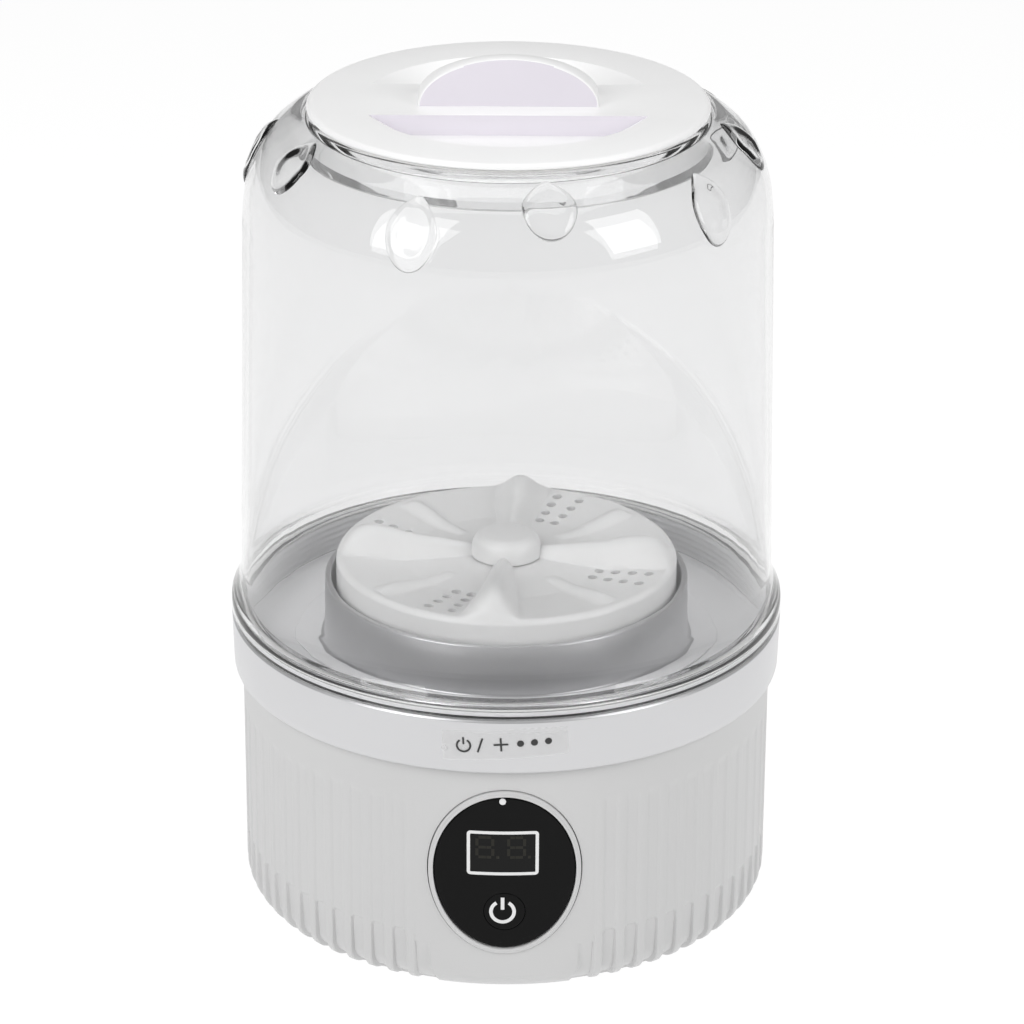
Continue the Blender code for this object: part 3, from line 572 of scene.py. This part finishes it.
inner_wall = []
for ridge in range(RIDGES):
    height = LOWEST_RIDGE + ridge * RIDGE_PITCH
    inner_wall += [
        (BOWL_INNER_R, height - 0.7), (BOWL_INNER_R - 0.33, height, 0.3), (BOWL_INNER_R, height + 0.7),
    ]
bowl = turned(
    [
        (BOWL_OUTER_R, BOWL_EDGE), (BOWL_OUTER_R, GROOVE_TOP), (GROOVE_R, GROOVE_TOP),
        (GROOVE_R, GROOVE_BOTTOM), (BOWL_OUTER_R, GROOVE_BOTTOM), (BOWL_OUTER_R, BAND_BOTTOM + 6.3),
        (BOWL_INNER_R - 2.0, BOWL_UNDER), (11.0, BOWL_UNDER), (11.0, HUB_BOTTOM), (BUSH_R, HUB_BOTTOM),
        (BUSH_R, BUSH_SEAT), (SHAFT_HOLE_R, BUSH_SEAT), (SHAFT_HOLE_R, HUB_TOP), (10.0, HUB_TOP, 0.6),
        (12.0, BOWL_FLOOR, 1.0), (BOWL_INNER_R, BOWL_FLOOR, 1.6), *inner_wall, (BOWL_INNER_R, BOWL_EDGE),
    ],
    steps=240,
)
bowl_piece = piece("threaded_bowl", bowl, FINISHES["bowl_silver"], "root", ["wash_bowl"])
# Painted shade: the groove's faces take the black finish so that the shaded joint stays dark.
bowl_piece.data.materials.append(FINISHES["black_plastic"])
for face in bowl_piece.data.polygons:
    in_groove = GROOVE_BOTTOM - 0.1 < face.center.z / MM < GROOVE_TOP + 0.4
    if in_groove and BOWL_INNER_R + 0.5 < face.center.xy.length / MM < BOWL_OUTER_R - 0.05:
        face.material_index = 1

# %% [markdown]
# A satin ring stands round the turning disc and keeps cloth out from under it. Its upright wall is
# brushed darker than its flat foot, which is finished like the bowl, so the foot's faces get a second
# material instead of being a piece of their own.

# %% Collar round the pulsator
COLLAR_R = 54.6
COLLAR_BORE = COLLAR_R - 1.9
COLLAR_RIM = COLLAR_TOP + 2.2
collar = turned(
    [
        (COLLAR_R - 0.1, COLLAR_RIM, 0.5), (COLLAR_R, COLLAR_BOTTOM + 1.7, 0.6),
        (COLLAR_R + 0.9, COLLAR_BOTTOM + 0.9, 0.3), (COLLAR_FOOT_R, COLLAR_BOTTOM + 0.8, 0.3),
        (COLLAR_FOOT_R, COLLAR_BOTTOM), (COLLAR_BORE, COLLAR_BOTTOM), (COLLAR_BORE, COLLAR_RIM, 0.5),
    ],
    steps=240,
)
collar_piece = piece(
    "satin_collar", collar, FINISHES["collar_silver"], "root", ["pulsator_collar"]
)
collar_piece.data.materials.append(FINISHES["bowl_silver"])
for face in collar_piece.data.polygons:
    if face.center.xy.length / MM > COLLAR_R + 1.0:
        face.material_index = 1

# %% [markdown]
# ## The pulsator
# The disc is dished, with four tall blades like wings and four low ridges between them. Sculpting or a
# join of eight separate solids could give the blades, but they flow out of the disc without an edge. So
# the disc is turned with a row every millimetre or so, and its upper points are lifted by the height of
# the blade over them. The drain holes are cut afterwards by a cluster of small rods.

# %% Blades
BLADE_BEARING = 84.5
BLADE_RISE = 9.4
RIDGE_RISE = 2.6


def across(x, y, bearing):
    """Distance along a bearing from the axis, and distance to its side, in mm."""
    angle = math.radians(bearing)
    along = x * math.cos(angle) + y * math.sin(angle)
    aside = -x * math.sin(angle) + y * math.cos(angle)
    return along, aside


def ridge_height(along, aside, start, end, rise, narrow, wide):
    """A ridge that widens outwards: it climbs slowly, stays high and falls off quickly at its outer end."""
    t = (along - start) / (end - start)
    if not 0.0 < t < 1.0:
        return 0.0
    climb = (0.22 + 0.93 * t) * (1.0 - t ** 8) * smooth_step(0.0, 0.1, t)
    half = narrow + (wide - narrow) * t
    return rise * climb * max(0.0, 1.0 - (aside / half) ** 2) ** 1.5


def blade_height(x, y):
    """How far the disc's top rises at a point: the tallest of the blades and ridges that cross it."""
    found = 0.0
    for quarter in range(4):
        bearing = BLADE_BEARING + 90.0 * quarter
        found = max(found, ridge_height(*across(x, y, bearing), 6.0, 50.4, BLADE_RISE, 2.6, 9.5))
        found = max(found, ridge_height(*across(x, y, bearing + 45.0), 20.0, 48.0, RIDGE_RISE, 2.2, 4.2))
    return found


# %% Disc
DISC_TOP = 108.8
HUB_R, HUB_END = 9.0, 94.2
SHAFT_R, SHAFT_END = 3.4, 104.0
disc = turned(
    [
        (0.0, DISC_TOP - 1.0, 0.0, 8), (12.0, DISC_TOP - 1.0, 0.0, 18), (30.0, DISC_TOP - 2.2, 0.0, 20),
        (PULSATOR_R - 1.2, DISC_TOP, 0.8), (PULSATOR_R, DISC_TOP - 1.2, 0.6), (PULSATOR_R, PULSATOR_BOTTOM),
        (PULSATOR_R - 2.2, PULSATOR_BOTTOM), (PULSATOR_R - 2.8, DISC_TOP - 3.6), (28.0, DISC_TOP - 4.8),
        (HUB_R, DISC_TOP - 4.8), (HUB_R, HUB_END), (SHAFT_R, HUB_END), (SHAFT_R, SHAFT_END),
        (0.0, SHAFT_END),
    ],
    steps=288,
)
for vert in disc.verts:
    if vert.co.z / MM > DISC_TOP - 2.6 and vert.normal.z > 0.3:
        vert.co.z += blade_height(vert.co.x / MM, vert.co.y / MM) * MM

# %% Drain holes
DRAIN_RADII = (29.5, 34.7, 39.9, 45.1)
DRAIN_OFF_BLADE = 19.5
DRAIN_SIDES = (-4.8, 4.8)
DRAIN_R = 1.45

drain = bmesh.new()
for group in range(4):
    for radius in DRAIN_RADII:
        for side in DRAIN_SIDES:
            bearing = math.radians(BLADE_BEARING - DRAIN_OFF_BLADE + 90.0 * group + side)
            hole = bmesh.ops.create_cone(
                drain, cap_ends=True, segments=20, radius1=DRAIN_R * MM, radius2=DRAIN_R * MM,
                depth=14.0 * MM,
            )
            spot = (radius * math.cos(bearing) * MM, radius * math.sin(bearing) * MM, (DISC_TOP - 2.0) * MM)
            bmesh.ops.translate(drain, verts=hole["verts"], vec=spot)
disc = shaped(disc, cutters=[drain])
piece("pulsator_disc", disc, FINISHES["pulsator_white"], "pulsator", ["pulsator"])

# %% Cap over the pulsator's screw
CAP_TOP = DISC_TOP + 6.3
cap = turned(
    [
        (0.0, CAP_TOP), (8.6, CAP_TOP - 0.4, 1.6), (10.2, CAP_TOP - 2.8, 1.5), (10.6, DISC_TOP - 0.6),
        (9.0, DISC_TOP - 0.6), (9.0, CAP_TOP - 4.3), (6.0, CAP_TOP - 2.5), (0.0, CAP_TOP - 2.1),
    ],
    steps=96,
)
piece("screw_cap", cap, FINISHES["pulsator_white"], "pulsator", ["pulsator_cap"])

# %% [markdown]
# ## Gaskets
# Two plain white rings: one seals the tub against the bowl's rim, and one seals the lid on the mouth. A
# gasket is soft, but here it only rests between two hard faces, so a ring with rounded edges is enough.


# %% Gasket rings
SOFT_EDGE = 0.3


def gasket(name, node, inner_r, outer_r, bottom, top, body):
    """A ring with four rounded edges, on the body whose name is given."""
    corners = [(outer_r, top), (outer_r, bottom), (inner_r, bottom), (inner_r, top)]
    ring = turned([(*corner, SOFT_EDGE) for corner in corners], steps=180)
    piece(name, ring, FINISHES["seal_white"], body, [node])


SEAT = BOWL_EDGE + 1.2
gasket("tub_gasket", "tub_seal", BOWL_INNER_R + 0.1, BOWL_OUTER_R, BOWL_EDGE + 0.2, SEAT - 0.2, "tub_seal")
gasket("lid_gasket", "lid_seal", 55.8, *span("lid_seal"), "lid_seal")

# %% [markdown]
# ## The clear tub
# The tub's wall runs up to a round shoulder that turns in to the mouth. It has a real inner and outer
# face, because clear plastic bends light at both of them. At its foot the wall flares out over the bowl's
# rim, rests on the gasket and carries on down as a thin neck inside the bowl.

# %% Wall
MOUTH_R = 55.5
SHOULDER_LINE = [
    (57.7, TUB_TOP), (61.8, 245.9), (65.4, 243.6), (70.1, 239.6), (73.4, 234.6), (76.0, 228.0),
    (77.2, 219.0), (77.7, 198.0),
]
SKIRT_R = BOWL_OUTER_R + 0.6
SKIRT_BOTTOM = BAND_TOP + 0.6
NECK_R = 78.2
NECK_INNER_R = 76.6
LEDGE = SEAT + 0.9
COLLAR_INNER_R, COLLAR_END = 57.5, 236.5

outer_wall = [
    (57.7, TUB_TOP, 0.4), (61.8, 245.9, 1.6), (65.4, 243.6, 2.2), (70.1, 239.6, 2.5), (73.4, 234.6, 2.8),
    (76.0, 228.0, 3.0), (77.2, 219.0, 4.0), (79.5, 120.7, 6.0), (79.9, 104.0, 2.5), (81.6, 99.3, 1.5),
]
foot = [
    (BAND_R, 96.9, 1.0), (BAND_R, SKIRT_BOTTOM, 0.5), (SKIRT_R, SKIRT_BOTTOM), (SKIRT_R, SEAT, 0.4),
    (NECK_R, SEAT, 0.4), (NECK_R, TUB_BOTTOM, 0.5), (NECK_INNER_R, TUB_BOTTOM, 0.5),
    (NECK_INNER_R, LEDGE, 0.4), (80.6, LEDGE, 0.6),
]
inner_face = [
    (79.6, 99.3, 1.2), (77.9, 104.6, 2.5), (77.2, 118.0, 4.0), (74.8, 219.0, 4.0), (73.5, 227.0, 3.0),
    (71.0, 233.0, 2.5), (67.2, 238.0, 2.5), (COLLAR_INNER_R, 243.6, 1.0),
]
mouth = [(COLLAR_INNER_R, COLLAR_END, 0.4), (MOUTH_R, COLLAR_END, 0.4), (MOUTH_R, TUB_TOP, 0.4)]
tub = turned(outer_wall + foot + inner_face + mouth, steps=240)


# %% [markdown]
# Ten raised water drops sit round the shoulder, long ones alternating with short ones that reach higher.
# A drop is a ball, pinched towards the top, laid along the shoulder's curve and joined to the wall. Its
# rise is steepest at the rim and shallow in the middle, so that the clear drop shows a dark outline.


# %% Water drops
def on_shoulder(distance):
    """Point and outward normal (radius, height) at a distance along the shoulder from the mouth, in mm."""
    for (r0, z0), (r1, z1) in zip(SHOULDER_LINE, SHOULDER_LINE[1:]):
        length = math.hypot(r1 - r0, z1 - z0)
        if distance <= length:
            t = distance / length
            normal = Vector((z0 - z1, r1 - r0)).normalized()
            return r0 + (r1 - r0) * t, z0 + (z1 - z0) * t, normal
        distance -= length
    raise ValueError("past the end of the shoulder")


def water_drop(bearing, middle, half_length, half_width, rise):
    """A drop whose bearing is in degrees from the front, counted towards +X, centred along the shoulder."""
    build = bmesh.new()
    bmesh.ops.create_uvsphere(build, u_segments=36, v_segments=24, radius=1.0)
    for vert in build.verts:
        up = vert.co.y
        pinch = 1.0 - 0.50 * max(0.0, up) ** 1.8 - 0.04 * max(0.0, -up)
        side = vert.co.x * half_width * pinch
        out = min(1.0, math.hypot(vert.co.x, vert.co.y))
        steep = (1.0 - out ** 5) ** 0.7 * (0.45 + 0.55 * smooth_step(0.3, 0.8, out))
        proud = rise * steep if vert.co.z > 0.0 else vert.co.z
        r, z, normal = on_shoulder(middle - up * half_length)
        angle = math.radians(bearing) + side / r
        radius = r + normal.x * proud
        vert.co = Vector((radius * math.sin(angle), -radius * math.cos(angle), z + normal.y * proud)) * MM
    bmesh.ops.recalc_face_normals(build, faces=build.faces)
    return build


PAIRS = 5
DROP_TURN = 360.0 / PAIRS
DROP_RISE = 1.1
long_drops = [water_drop(-21.2 + DROP_TURN * i, 21.5, 11.2, 7.6, DROP_RISE) for i in range(PAIRS)]
short_drops = [water_drop(9.6 + DROP_TURN * i, 13.0, 9.4, 7.8, DROP_RISE) for i in range(PAIRS)]
tub = shaped(tub, additions=long_drops + short_drops)
piece("clear_tub", tub, FINISHES["clear_tub"], "tub", ["wash_tub"])

# %% [markdown]
# ## The lid
# The lid is a white disc with a dish each side of a flat strip, so that fingers reach round the half-moon
# grip that stands on the strip. The disc is turned, the dishes are cut by two half cones and the grip is
# joined on. The strip's upright faces that face the front get a painted lilac tint, a second material on
# those faces: painted light, standing in for the tinted light that these faces catch.

# %% Lid
GRIP_HALF = 26.0
GRIP_HEIGHT = 13.0
GRIP_THICK = 13.2
LID_TOP = GRIP_TOP - GRIP_HEIGHT
LID_UNDER = LID_BOTTOM + 9.8
PLUG_R, PLUG_BORE = 54.8, 53.0
DISH_FLOOR = LID_TOP - 6.0
DISH_UNDER = DISH_FLOOR - 1.8
STRIP_HALF = 14.5
lid = turned(
    [
        (0.0, LID_TOP), (LID_R - 0.2, LID_TOP, 1.3), (LID_R, LID_UNDER, 0.3), (PLUG_R, LID_UNDER),
        (PLUG_R, LID_BOTTOM), (PLUG_BORE, LID_BOTTOM), (PLUG_BORE, LID_UNDER - 0.6),
        (45.5, LID_UNDER - 0.8), (34.5, DISH_UNDER), (0.0, DISH_UNDER),
    ],
    steps=180,
)


def dish_cutter(side):
    """Half a cone frustum, cut off flat along the strip."""
    above = LID_TOP + 2.0
    build = turned([(0.0, above), (45.6, above), (33.0, DISH_FLOOR, 1.5), (0.0, DISH_FLOOR)], steps=180)
    cut = bmesh.ops.bisect_plane(
        build, geom=build.verts[:] + build.edges[:] + build.faces[:],
        plane_co=(0.0, side * STRIP_HALF * MM, 0.0), plane_no=(0.0, -side, 0.0), clear_outer=True,
    )
    rim = [item for item in cut["geom_cut"] if isinstance(item, bmesh.types.BMEdge)]
    bmesh.ops.holes_fill(build, edges=rim, sides=0)
    bmesh.ops.recalc_face_normals(build, faces=build.faces)
    return build


def grip_form():
    """A half-moon, thick at its foot and thinner at its crest."""
    build = rod(1.0 / MM, -GRIP_THICK / 2, GRIP_THICK / 2, sides=120)
    bmesh.ops.scale(build, vec=(GRIP_HALF * MM, GRIP_HEIGHT * MM, 1.0), verts=build.verts)
    face_front(build)
    edges = [edge for edge in build.edges if abs(edge.verts[0].co.y - edge.verts[1].co.y) < 0.00001]
    bmesh.ops.bevel(
        build, geom=edges, offset=0.8 * MM, offset_type="OFFSET", affect="EDGES", segments=4, profile=0.5,
        material=-1, clamp_overlap=True,
    )
    for vert in build.verts:
        vert.co.y *= 1.0 - 0.6 * max(vert.co.z, 0.0) / (GRIP_HEIGHT * MM)
        vert.co.z = max(vert.co.z, -0.002)
    bmesh.ops.remove_doubles(build, verts=build.verts, dist=0.00001)
    bmesh.ops.translate(build, verts=build.verts, vec=(0.0, 0.0, LID_TOP * MM))
    return build


lid = shaped(lid, additions=[grip_form()], cutters=[dish_cutter(-1), dish_cutter(1)])
lid_piece = piece("screw_lid", lid, FINISHES["lid_white"], "lid", ["lid"])
lid_piece.data.materials.append(LILAC_PAINTED_LIGHT)
# Painted light: only the upright faces on the strip that face the front get the lilac tint.
for face in lid_piece.data.polygons:
    on_strip = -STRIP_HALF - 0.1 < face.center.y / MM < -2.0 and face.center.z / MM > DISH_FLOOR
    if face.normal.y < -0.85 and on_strip:
        face.material_index = 1

# %% [markdown]
# ## The control panel
# A pale bezel frames a black oval lens. On the lens are a display window with a printed frame and a
# round key with a power sign. All of them follow the drum's curve, so they are made flat, in oval
# proportion, and stood up by the helper. Below, a height in an outline is a distance from the drum's axis.

# %% Bezel
LENS_R = 80.3
BEZEL_BACK = 77.0
LIP_R = 20.85
bezel = turned(
    [
        (LIP_R, BEZEL_BACK), (LIP_R, 80.75, 0.3), (21.4, 80.8, 0.15), (21.75, 80.45, 0.1),
        (BEZEL_HALF_X, 80.4, 0.2), (BEZEL_HALF_X, BEZEL_BACK),
    ],
    steps=144,
)
stand_up(bezel, (0.0, PANEL_Z), (1.0, BEZEL_HALF_Z / BEZEL_HALF_X))
piece("oval_bezel", bezel, FINISHES["housing_white"], "root", ["panel_bezel"])

# %% Lens
LENS_BACK = 77.2
KEY_GAP = 0.15
lens = turned(
    [
        (0.0, LENS_R, 0.0, 14), (LENS_HALF_X, LENS_R, 0.3), (LENS_HALF_X, LENS_BACK, 0.0, 10),
        (0.0, LENS_BACK),
    ],
    steps=144,
)
stand_up(lens, (0.0, PANEL_Z), (1.0, LENS_HALF_Z / LENS_HALF_X))
key_hole = oval_cutter((KEY_R + KEY_GAP, KEY_R + KEY_GAP), KEY_Z, 60.0, 90.0)
lens = shaped(lens, cutters=[key_hole])
piece("oval_lens", lens, FINISHES["panel_black"], "root", ["panel_lens"])

# %% Key
KEY_BACK = 77.6
STEM_R = 1.6
STEM_TIP = 71.7
key = turned(
    [(0.0, LENS_R, 0.0, 6), (KEY_R, LENS_R, 0.2), (KEY_R, KEY_BACK, 0.0, 4), (0.0, KEY_BACK)], steps=72
)
stand_up(key, (0.0, KEY_Z))
stem = rod(STEM_R, STEM_TIP, KEY_BACK + 0.9, sides=24)
face_front(stem)
bmesh.ops.translate(stem, verts=stem.verts, vec=(0.0, 0.0, KEY_Z * MM))
key = shaped(key, additions=[stem])
piece("power_key", key, FINISHES["panel_black"], "power_button", ["power_button"])

# %% [markdown]
# The signs are thin raised prints. A power sign is an open ring with a bar in its gap: the ring is a part
# spin of a small square, and the bar a scaled cube. A picture on the lens would do from far away, but
# prints with an edge stay crisp from near by.

# %% Signs
INK = 0.05
SIGN_GAP = 64.0
LEGEND_X = -0.55


def power_sign(centre, outer_r, stroke, surface_r, slant=0.0):
    """An open ring with a bar in its gap, printed on a surface at a radius about the washer's axis."""
    build = bmesh.new()
    inner_r = outer_r - stroke
    corners = [(inner_r, 0.0), (outer_r, 0.0), (outer_r, INK), (inner_r, INK)]
    start = Matrix.Rotation(math.radians(90.0 + SIGN_GAP / 2), 3, "Z")
    ring = [build.verts.new(start @ Vector((r * MM, 0.0, (surface_r + h) * MM))) for r, h in corners]
    section = build.faces.new(ring)
    bmesh.ops.spin(
        build, geom=[section], cent=(0.0, 0.0, 0.0), axis=(0.0, 0.0, 1.0),
        angle=math.radians(360.0 - SIGN_GAP), steps=40, use_merge=False, use_duplicate=False,
    )
    stick = bmesh.ops.create_cube(build, size=1.0)["verts"]
    bmesh.ops.scale(build, vec=(stroke * MM, outer_r * 1.02 * MM, INK * MM), verts=stick)
    spot = (0.0, outer_r * 0.68 * MM, (surface_r + INK / 2) * MM)
    bmesh.ops.translate(build, vec=spot, verts=stick)
    bmesh.ops.rotate(build, verts=build.verts, matrix=Matrix.Rotation(slant, 3, "Z"))
    bmesh.ops.recalc_face_normals(build, faces=build.faces)
    return stand_up(build, centre)


key_sign = power_sign((LEGEND_X, KEY_Z), 3.9, 1.05, LENS_R)
piece("power_sign", key_sign, LEGEND, "power_button")


# %% [markdown]
# The display is a smoked window in a white printed frame, with the bars of two unlit digits just visible
# in it. The frame is a rounded slab with its middle cut out. A slab that is to follow the drum has to be
# cut across into rows first, or it would stay flat between its two ends.


# %% Rounded slabs
def cut_rows(build, half_x, rows):
    """Cuts a lying shape across into rows of equal width, so that it can bend."""
    for row in range(1, rows):
        where = -half_x + 2.0 * half_x * row / rows
        bmesh.ops.bisect_plane(
            build, geom=build.verts[:] + build.edges[:] + build.faces[:], plane_co=(where * MM, 0.0, 0.0),
            plane_no=(1.0, 0.0, 0.0),
        )


def rounded_slab(half_x, half_y, rounding, bottom, top, rows=1):
    """A flat slab with rounded corners, lying down between two heights in mm."""
    build = bmesh.new()
    bmesh.ops.create_grid(build, x_segments=1, y_segments=1, size=1.0)
    bmesh.ops.scale(build, vec=(half_x * MM, half_y * MM, 1.0), verts=build.verts)
    bmesh.ops.bevel(
        build, geom=build.verts[:], offset=rounding * MM, offset_type="OFFSET", affect="VERTICES",
        segments=6, profile=0.5, material=-1, clamp_overlap=True,
    )
    bmesh.ops.translate(build, verts=build.verts, vec=(0.0, 0.0, bottom * MM))
    raised = bmesh.ops.extrude_face_region(build, geom=build.faces[:])
    lifted = [item for item in raised["geom"] if isinstance(item, bmesh.types.BMVert)]
    bmesh.ops.translate(build, verts=lifted, vec=(0.0, 0.0, (top - bottom) * MM))
    cut_rows(build, half_x, rows)
    bmesh.ops.recalc_face_normals(build, faces=build.faces)
    return build


# %% Display window
WINDOW_HALF = (10.44, 7.15)
WINDOW_Z = PANEL_Z + 6.55
STROKE = 0.95
ROWS = 16
SKIN = 0.01
opening = (WINDOW_HALF[0] - STROKE, WINDOW_HALF[1] - STROKE, 0.25)

frame_slab = rounded_slab(*WINDOW_HALF, 1.1, LENS_R - SKIN, LENS_R + INK, rows=ROWS)
window_frame = shaped(frame_slab, cutters=[rounded_slab(*opening, LENS_R - 1.0, LENS_R + 1.0)])
bmesh.ops.triangulate(window_frame, faces=window_frame.faces)
cut_rows(window_frame, WINDOW_HALF[0], ROWS)
stand_up(window_frame, (LEGEND_X, WINDOW_Z))
piece("window_frame", window_frame, LEGEND, "root")

pane = rounded_slab(*opening, LENS_R - SKIN, LENS_R + SKIN, rows=ROWS)
stand_up(pane, (LEGEND_X, WINDOW_Z))
piece("window_pane", pane, WINDOW_SMOKE, "root")


# %% Unlit digits
def digit_bars(centre_x, height, width, stroke):
    """The seven bars of one unlit digit and its point, as low blocks."""
    half = height / 2.0
    bars = [(0.0, y, width - stroke, stroke) for y in (-half, 0.0, half)]
    bars += [(x, y, stroke, half - stroke) for x in (-width / 2, width / 2) for y in (-half / 2, half / 2)]
    bars += [(width / 2 + stroke * 1.6, -half, stroke, stroke)]
    return [(centre_x + x, y, w, h) for x, y, w, h in bars]


DIGIT = (6.4, 4.6, 0.9)
digits = bmesh.new()
for x, y, width, height in digit_bars(-5.2, *DIGIT) + digit_bars(4.0, *DIGIT):
    block = bmesh.ops.create_cube(digits, size=1.0)["verts"]
    bmesh.ops.scale(digits, vec=(width * MM, height * MM, 0.02 * MM), verts=block)
    bmesh.ops.translate(digits, vec=(x * MM, y * MM, (LENS_R + 0.02) * MM), verts=block)
stand_up(digits, (LEGEND_X, WINDOW_Z + 1.9))
piece("unlit_digits", digits, SEGMENT_OFF, "root")

# %% Status light
nub = turned([(0.0, 80.75), (1.0, 80.7, 0.3), (1.0, 80.2), (0.0, 80.2)], steps=32)
stand_up(nub, (LEGEND_X - 0.1, PANEL_Z + 23.4))
piece("status_light", nub, LEGEND, "root")

# %% [markdown]
# ## The label on the band
# A clear sticker sits a little askew on the band. The marks on it are plain pictures of what to do: a
# power sign, and dots for a long press.


# %% Sticker
def clear_film():
    """A thin clear film that only dulls what is under it, with a gloss that varies in fine speckles."""
    material = bpy.data.materials.new("clear_film")
    material.use_nodes = True
    nodes = material.node_tree.nodes
    links = material.node_tree.links
    shader = nodes["Principled BSDF"]
    shader.inputs["Base Color"].default_value = (0.9, 0.9, 0.9, 1.0)
    shader.inputs["Alpha"].default_value = 0.22
    place = nodes.new("ShaderNodeTexCoord")
    speckle = nodes.new("ShaderNodeTexNoise")
    speckle.inputs["Scale"].default_value = 300.0
    links.new(place.outputs["Object"], speckle.inputs["Vector"])
    gloss = nodes.new("ShaderNodeMapRange")
    gloss.inputs["To Min"].default_value = 0.12
    gloss.inputs["To Max"].default_value = 0.22
    links.new(speckle.outputs["Fac"], gloss.inputs["Value"])
    links.new(gloss.outputs["Result"], shader.inputs["Roughness"])
    return material


LABEL_Z = 84.3
LABEL_TILT = math.radians(3.6)
LABEL_R = 82.75
MARK_R = LABEL_R + 0.08


def on_band(build):
    """Stands a flat shape on the band, turned with the label."""
    bmesh.ops.rotate(build, verts=build.verts, matrix=Matrix.Rotation(LABEL_TILT, 3, "Z"))
    return stand_up(build, (0.0, LABEL_Z))


sticker = rounded_slab(18.0, 4.7, 0.5, LABEL_R, LABEL_R + 0.04, rows=18)
piece("label_film", on_band(sticker), clear_film(), "root")

marks = bmesh.new()
for x, half_x, half_y, turn in ((-7.2, 0.28, 2.3, -0.35), (-1.2, 0.28, 2.1, 0.0), (-1.2, 2.1, 0.28, 0.0)):
    block = bmesh.ops.create_cube(marks, size=2.0)["verts"]
    bmesh.ops.scale(marks, vec=(half_x * MM, half_y * MM, 0.03 * MM), verts=block)
    bmesh.ops.rotate(marks, verts=block, matrix=Matrix.Rotation(turn, 3, "Z"))
    bmesh.ops.translate(marks, vec=(x * MM, 0.0, MARK_R * MM), verts=block)
for x in (4.4, 8.4, 12.4):
    dot = bmesh.ops.create_cone(
        marks, cap_ends=True, segments=28, radius1=1.0 * MM, radius2=1.0 * MM, depth=0.06 * MM
    )
    bmesh.ops.translate(marks, vec=(x * MM, 0.0, MARK_R * MM), verts=dot["verts"])
piece("label_marks", on_band(marks), MARK_INK, "root")
label_sign = power_sign((-11.9, LABEL_Z - 0.75), 2.2, 0.55, LABEL_R + 0.06, LABEL_TILT)
piece("label_power_sign", label_sign, MARK_INK, "root")

# %% [markdown]
# ## The charging port's cover
# A soft rubber flap closes the port at the back. It has rounded edges, a plug that fills the opening and
# a small lip below to pull it open by.

# %% Port cover
flap_low, flap_high = (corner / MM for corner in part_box("port_cover"))
flap = bar(
    (flap_low.x, 80.15, flap_low.z), (flap_high.x, flap_high.y, flap_high.z - 0.15), rounding=0.85,
    segments=4,
)
plug = bar((-4.6, flap_low.y, PORT_Z - 1.7), (4.6, 80.9, PORT_Z + 1.7), rounding=0.5)
lip_cut = bar((-5.0, 81.4, flap_low.z + 0.9), (5.0, 84.0, flap_low.z + 1.7), rounding=0.3)
flap = shaped(flap, additions=[plug], cutters=[lip_cut])
piece("port_flap", flap, FINISHES["rubber_grey"], "port_cover", ["port_cover"])

# %% [markdown]
# ## What stays as it was packed
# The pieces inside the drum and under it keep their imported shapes. Each gets the finish of its slot.

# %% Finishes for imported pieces
KEPT = {
    "housing_white": ["bottom_cover"],
    "rubber_grey": ["foot_1", "foot_2", "foot_3", "foot_4", "shaft_seal"],
    "board_green": ["control_board", "charge_board"],
    "black_plastic": [
        "display_module", "battery_tray", "gearbox_upper_plate", "gearbox_lower_plate", "motor_end_bell",
    ],
    "cell_blue": ["battery_cell_1", "battery_cell_2"],
    "wire_red": ["battery_lead", "motor_lead", "charge_lead"],
    "gear_nylon": ["idler_wheel", "idler_pinion", "output_gear"],
    "brass": ["motor_pinion", "lower_bush", "upper_bush"],
    "steel": [
        "tact_switch", "charge_socket", "idler_pin", "motor_can", "motor_shaft", "drive_shaft",
        "pulsator_screw",
        *[f"cover_screw_{i}" for i in (1, 2, 3, 4)], *[f"board_screw_{i}" for i in (1, 2, 3, 4)],
        *[f"gearbox_screw_{i}" for i in (1, 2, 3)], *[f"gearbox_spacer_{i}" for i in (1, 2, 3)],
    ],
}
for slot, names in KEPT.items():
    for name in names:
        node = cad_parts[name]
        node.data.materials.clear()
        node.data.materials.append(FINISHES[slot])
finished = sum(KEPT.values(), [])
unfinished = [
    name for name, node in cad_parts.items() if not node.hide_render and name not in finished
]
print("packed pieces without a finish:", unfinished)

# %% [markdown]
# ## The floor
# A wide white sweep. It isn't part of the washer. A lit white floor alone would fall off towards its far
# end and look grey there, so most of its brightness is its own glow, and the rest leaves room for the
# washer's soft shadow.

# %% Floor
FLOOR_GLOW = 0.84
floor_build = bmesh.new()
bmesh.ops.create_grid(floor_build, x_segments=8, y_segments=8, size=6.0)
floor_mesh = bpy.data.meshes.new("studio_floor")
floor_build.to_mesh(floor_mesh)
floor_build.free()
floor = bpy.data.objects.new("studio_floor", floor_mesh)
bpy.context.scene.collection.objects.link(floor)
floor_finish = moulded("floor_white", (0.25, 0.25, 0.25), 0.9, grain=60.0, bump=0.0, cloud=0.0)
floor_shader = floor_finish.node_tree.nodes["Principled BSDF"]
floor_shader.inputs["Emission Color"].default_value = (1.0, 1.0, 1.0, 1.0)
floor_shader.inputs["Emission Strength"].default_value = FLOOR_GLOW
floor_mesh.materials.append(floor_finish)
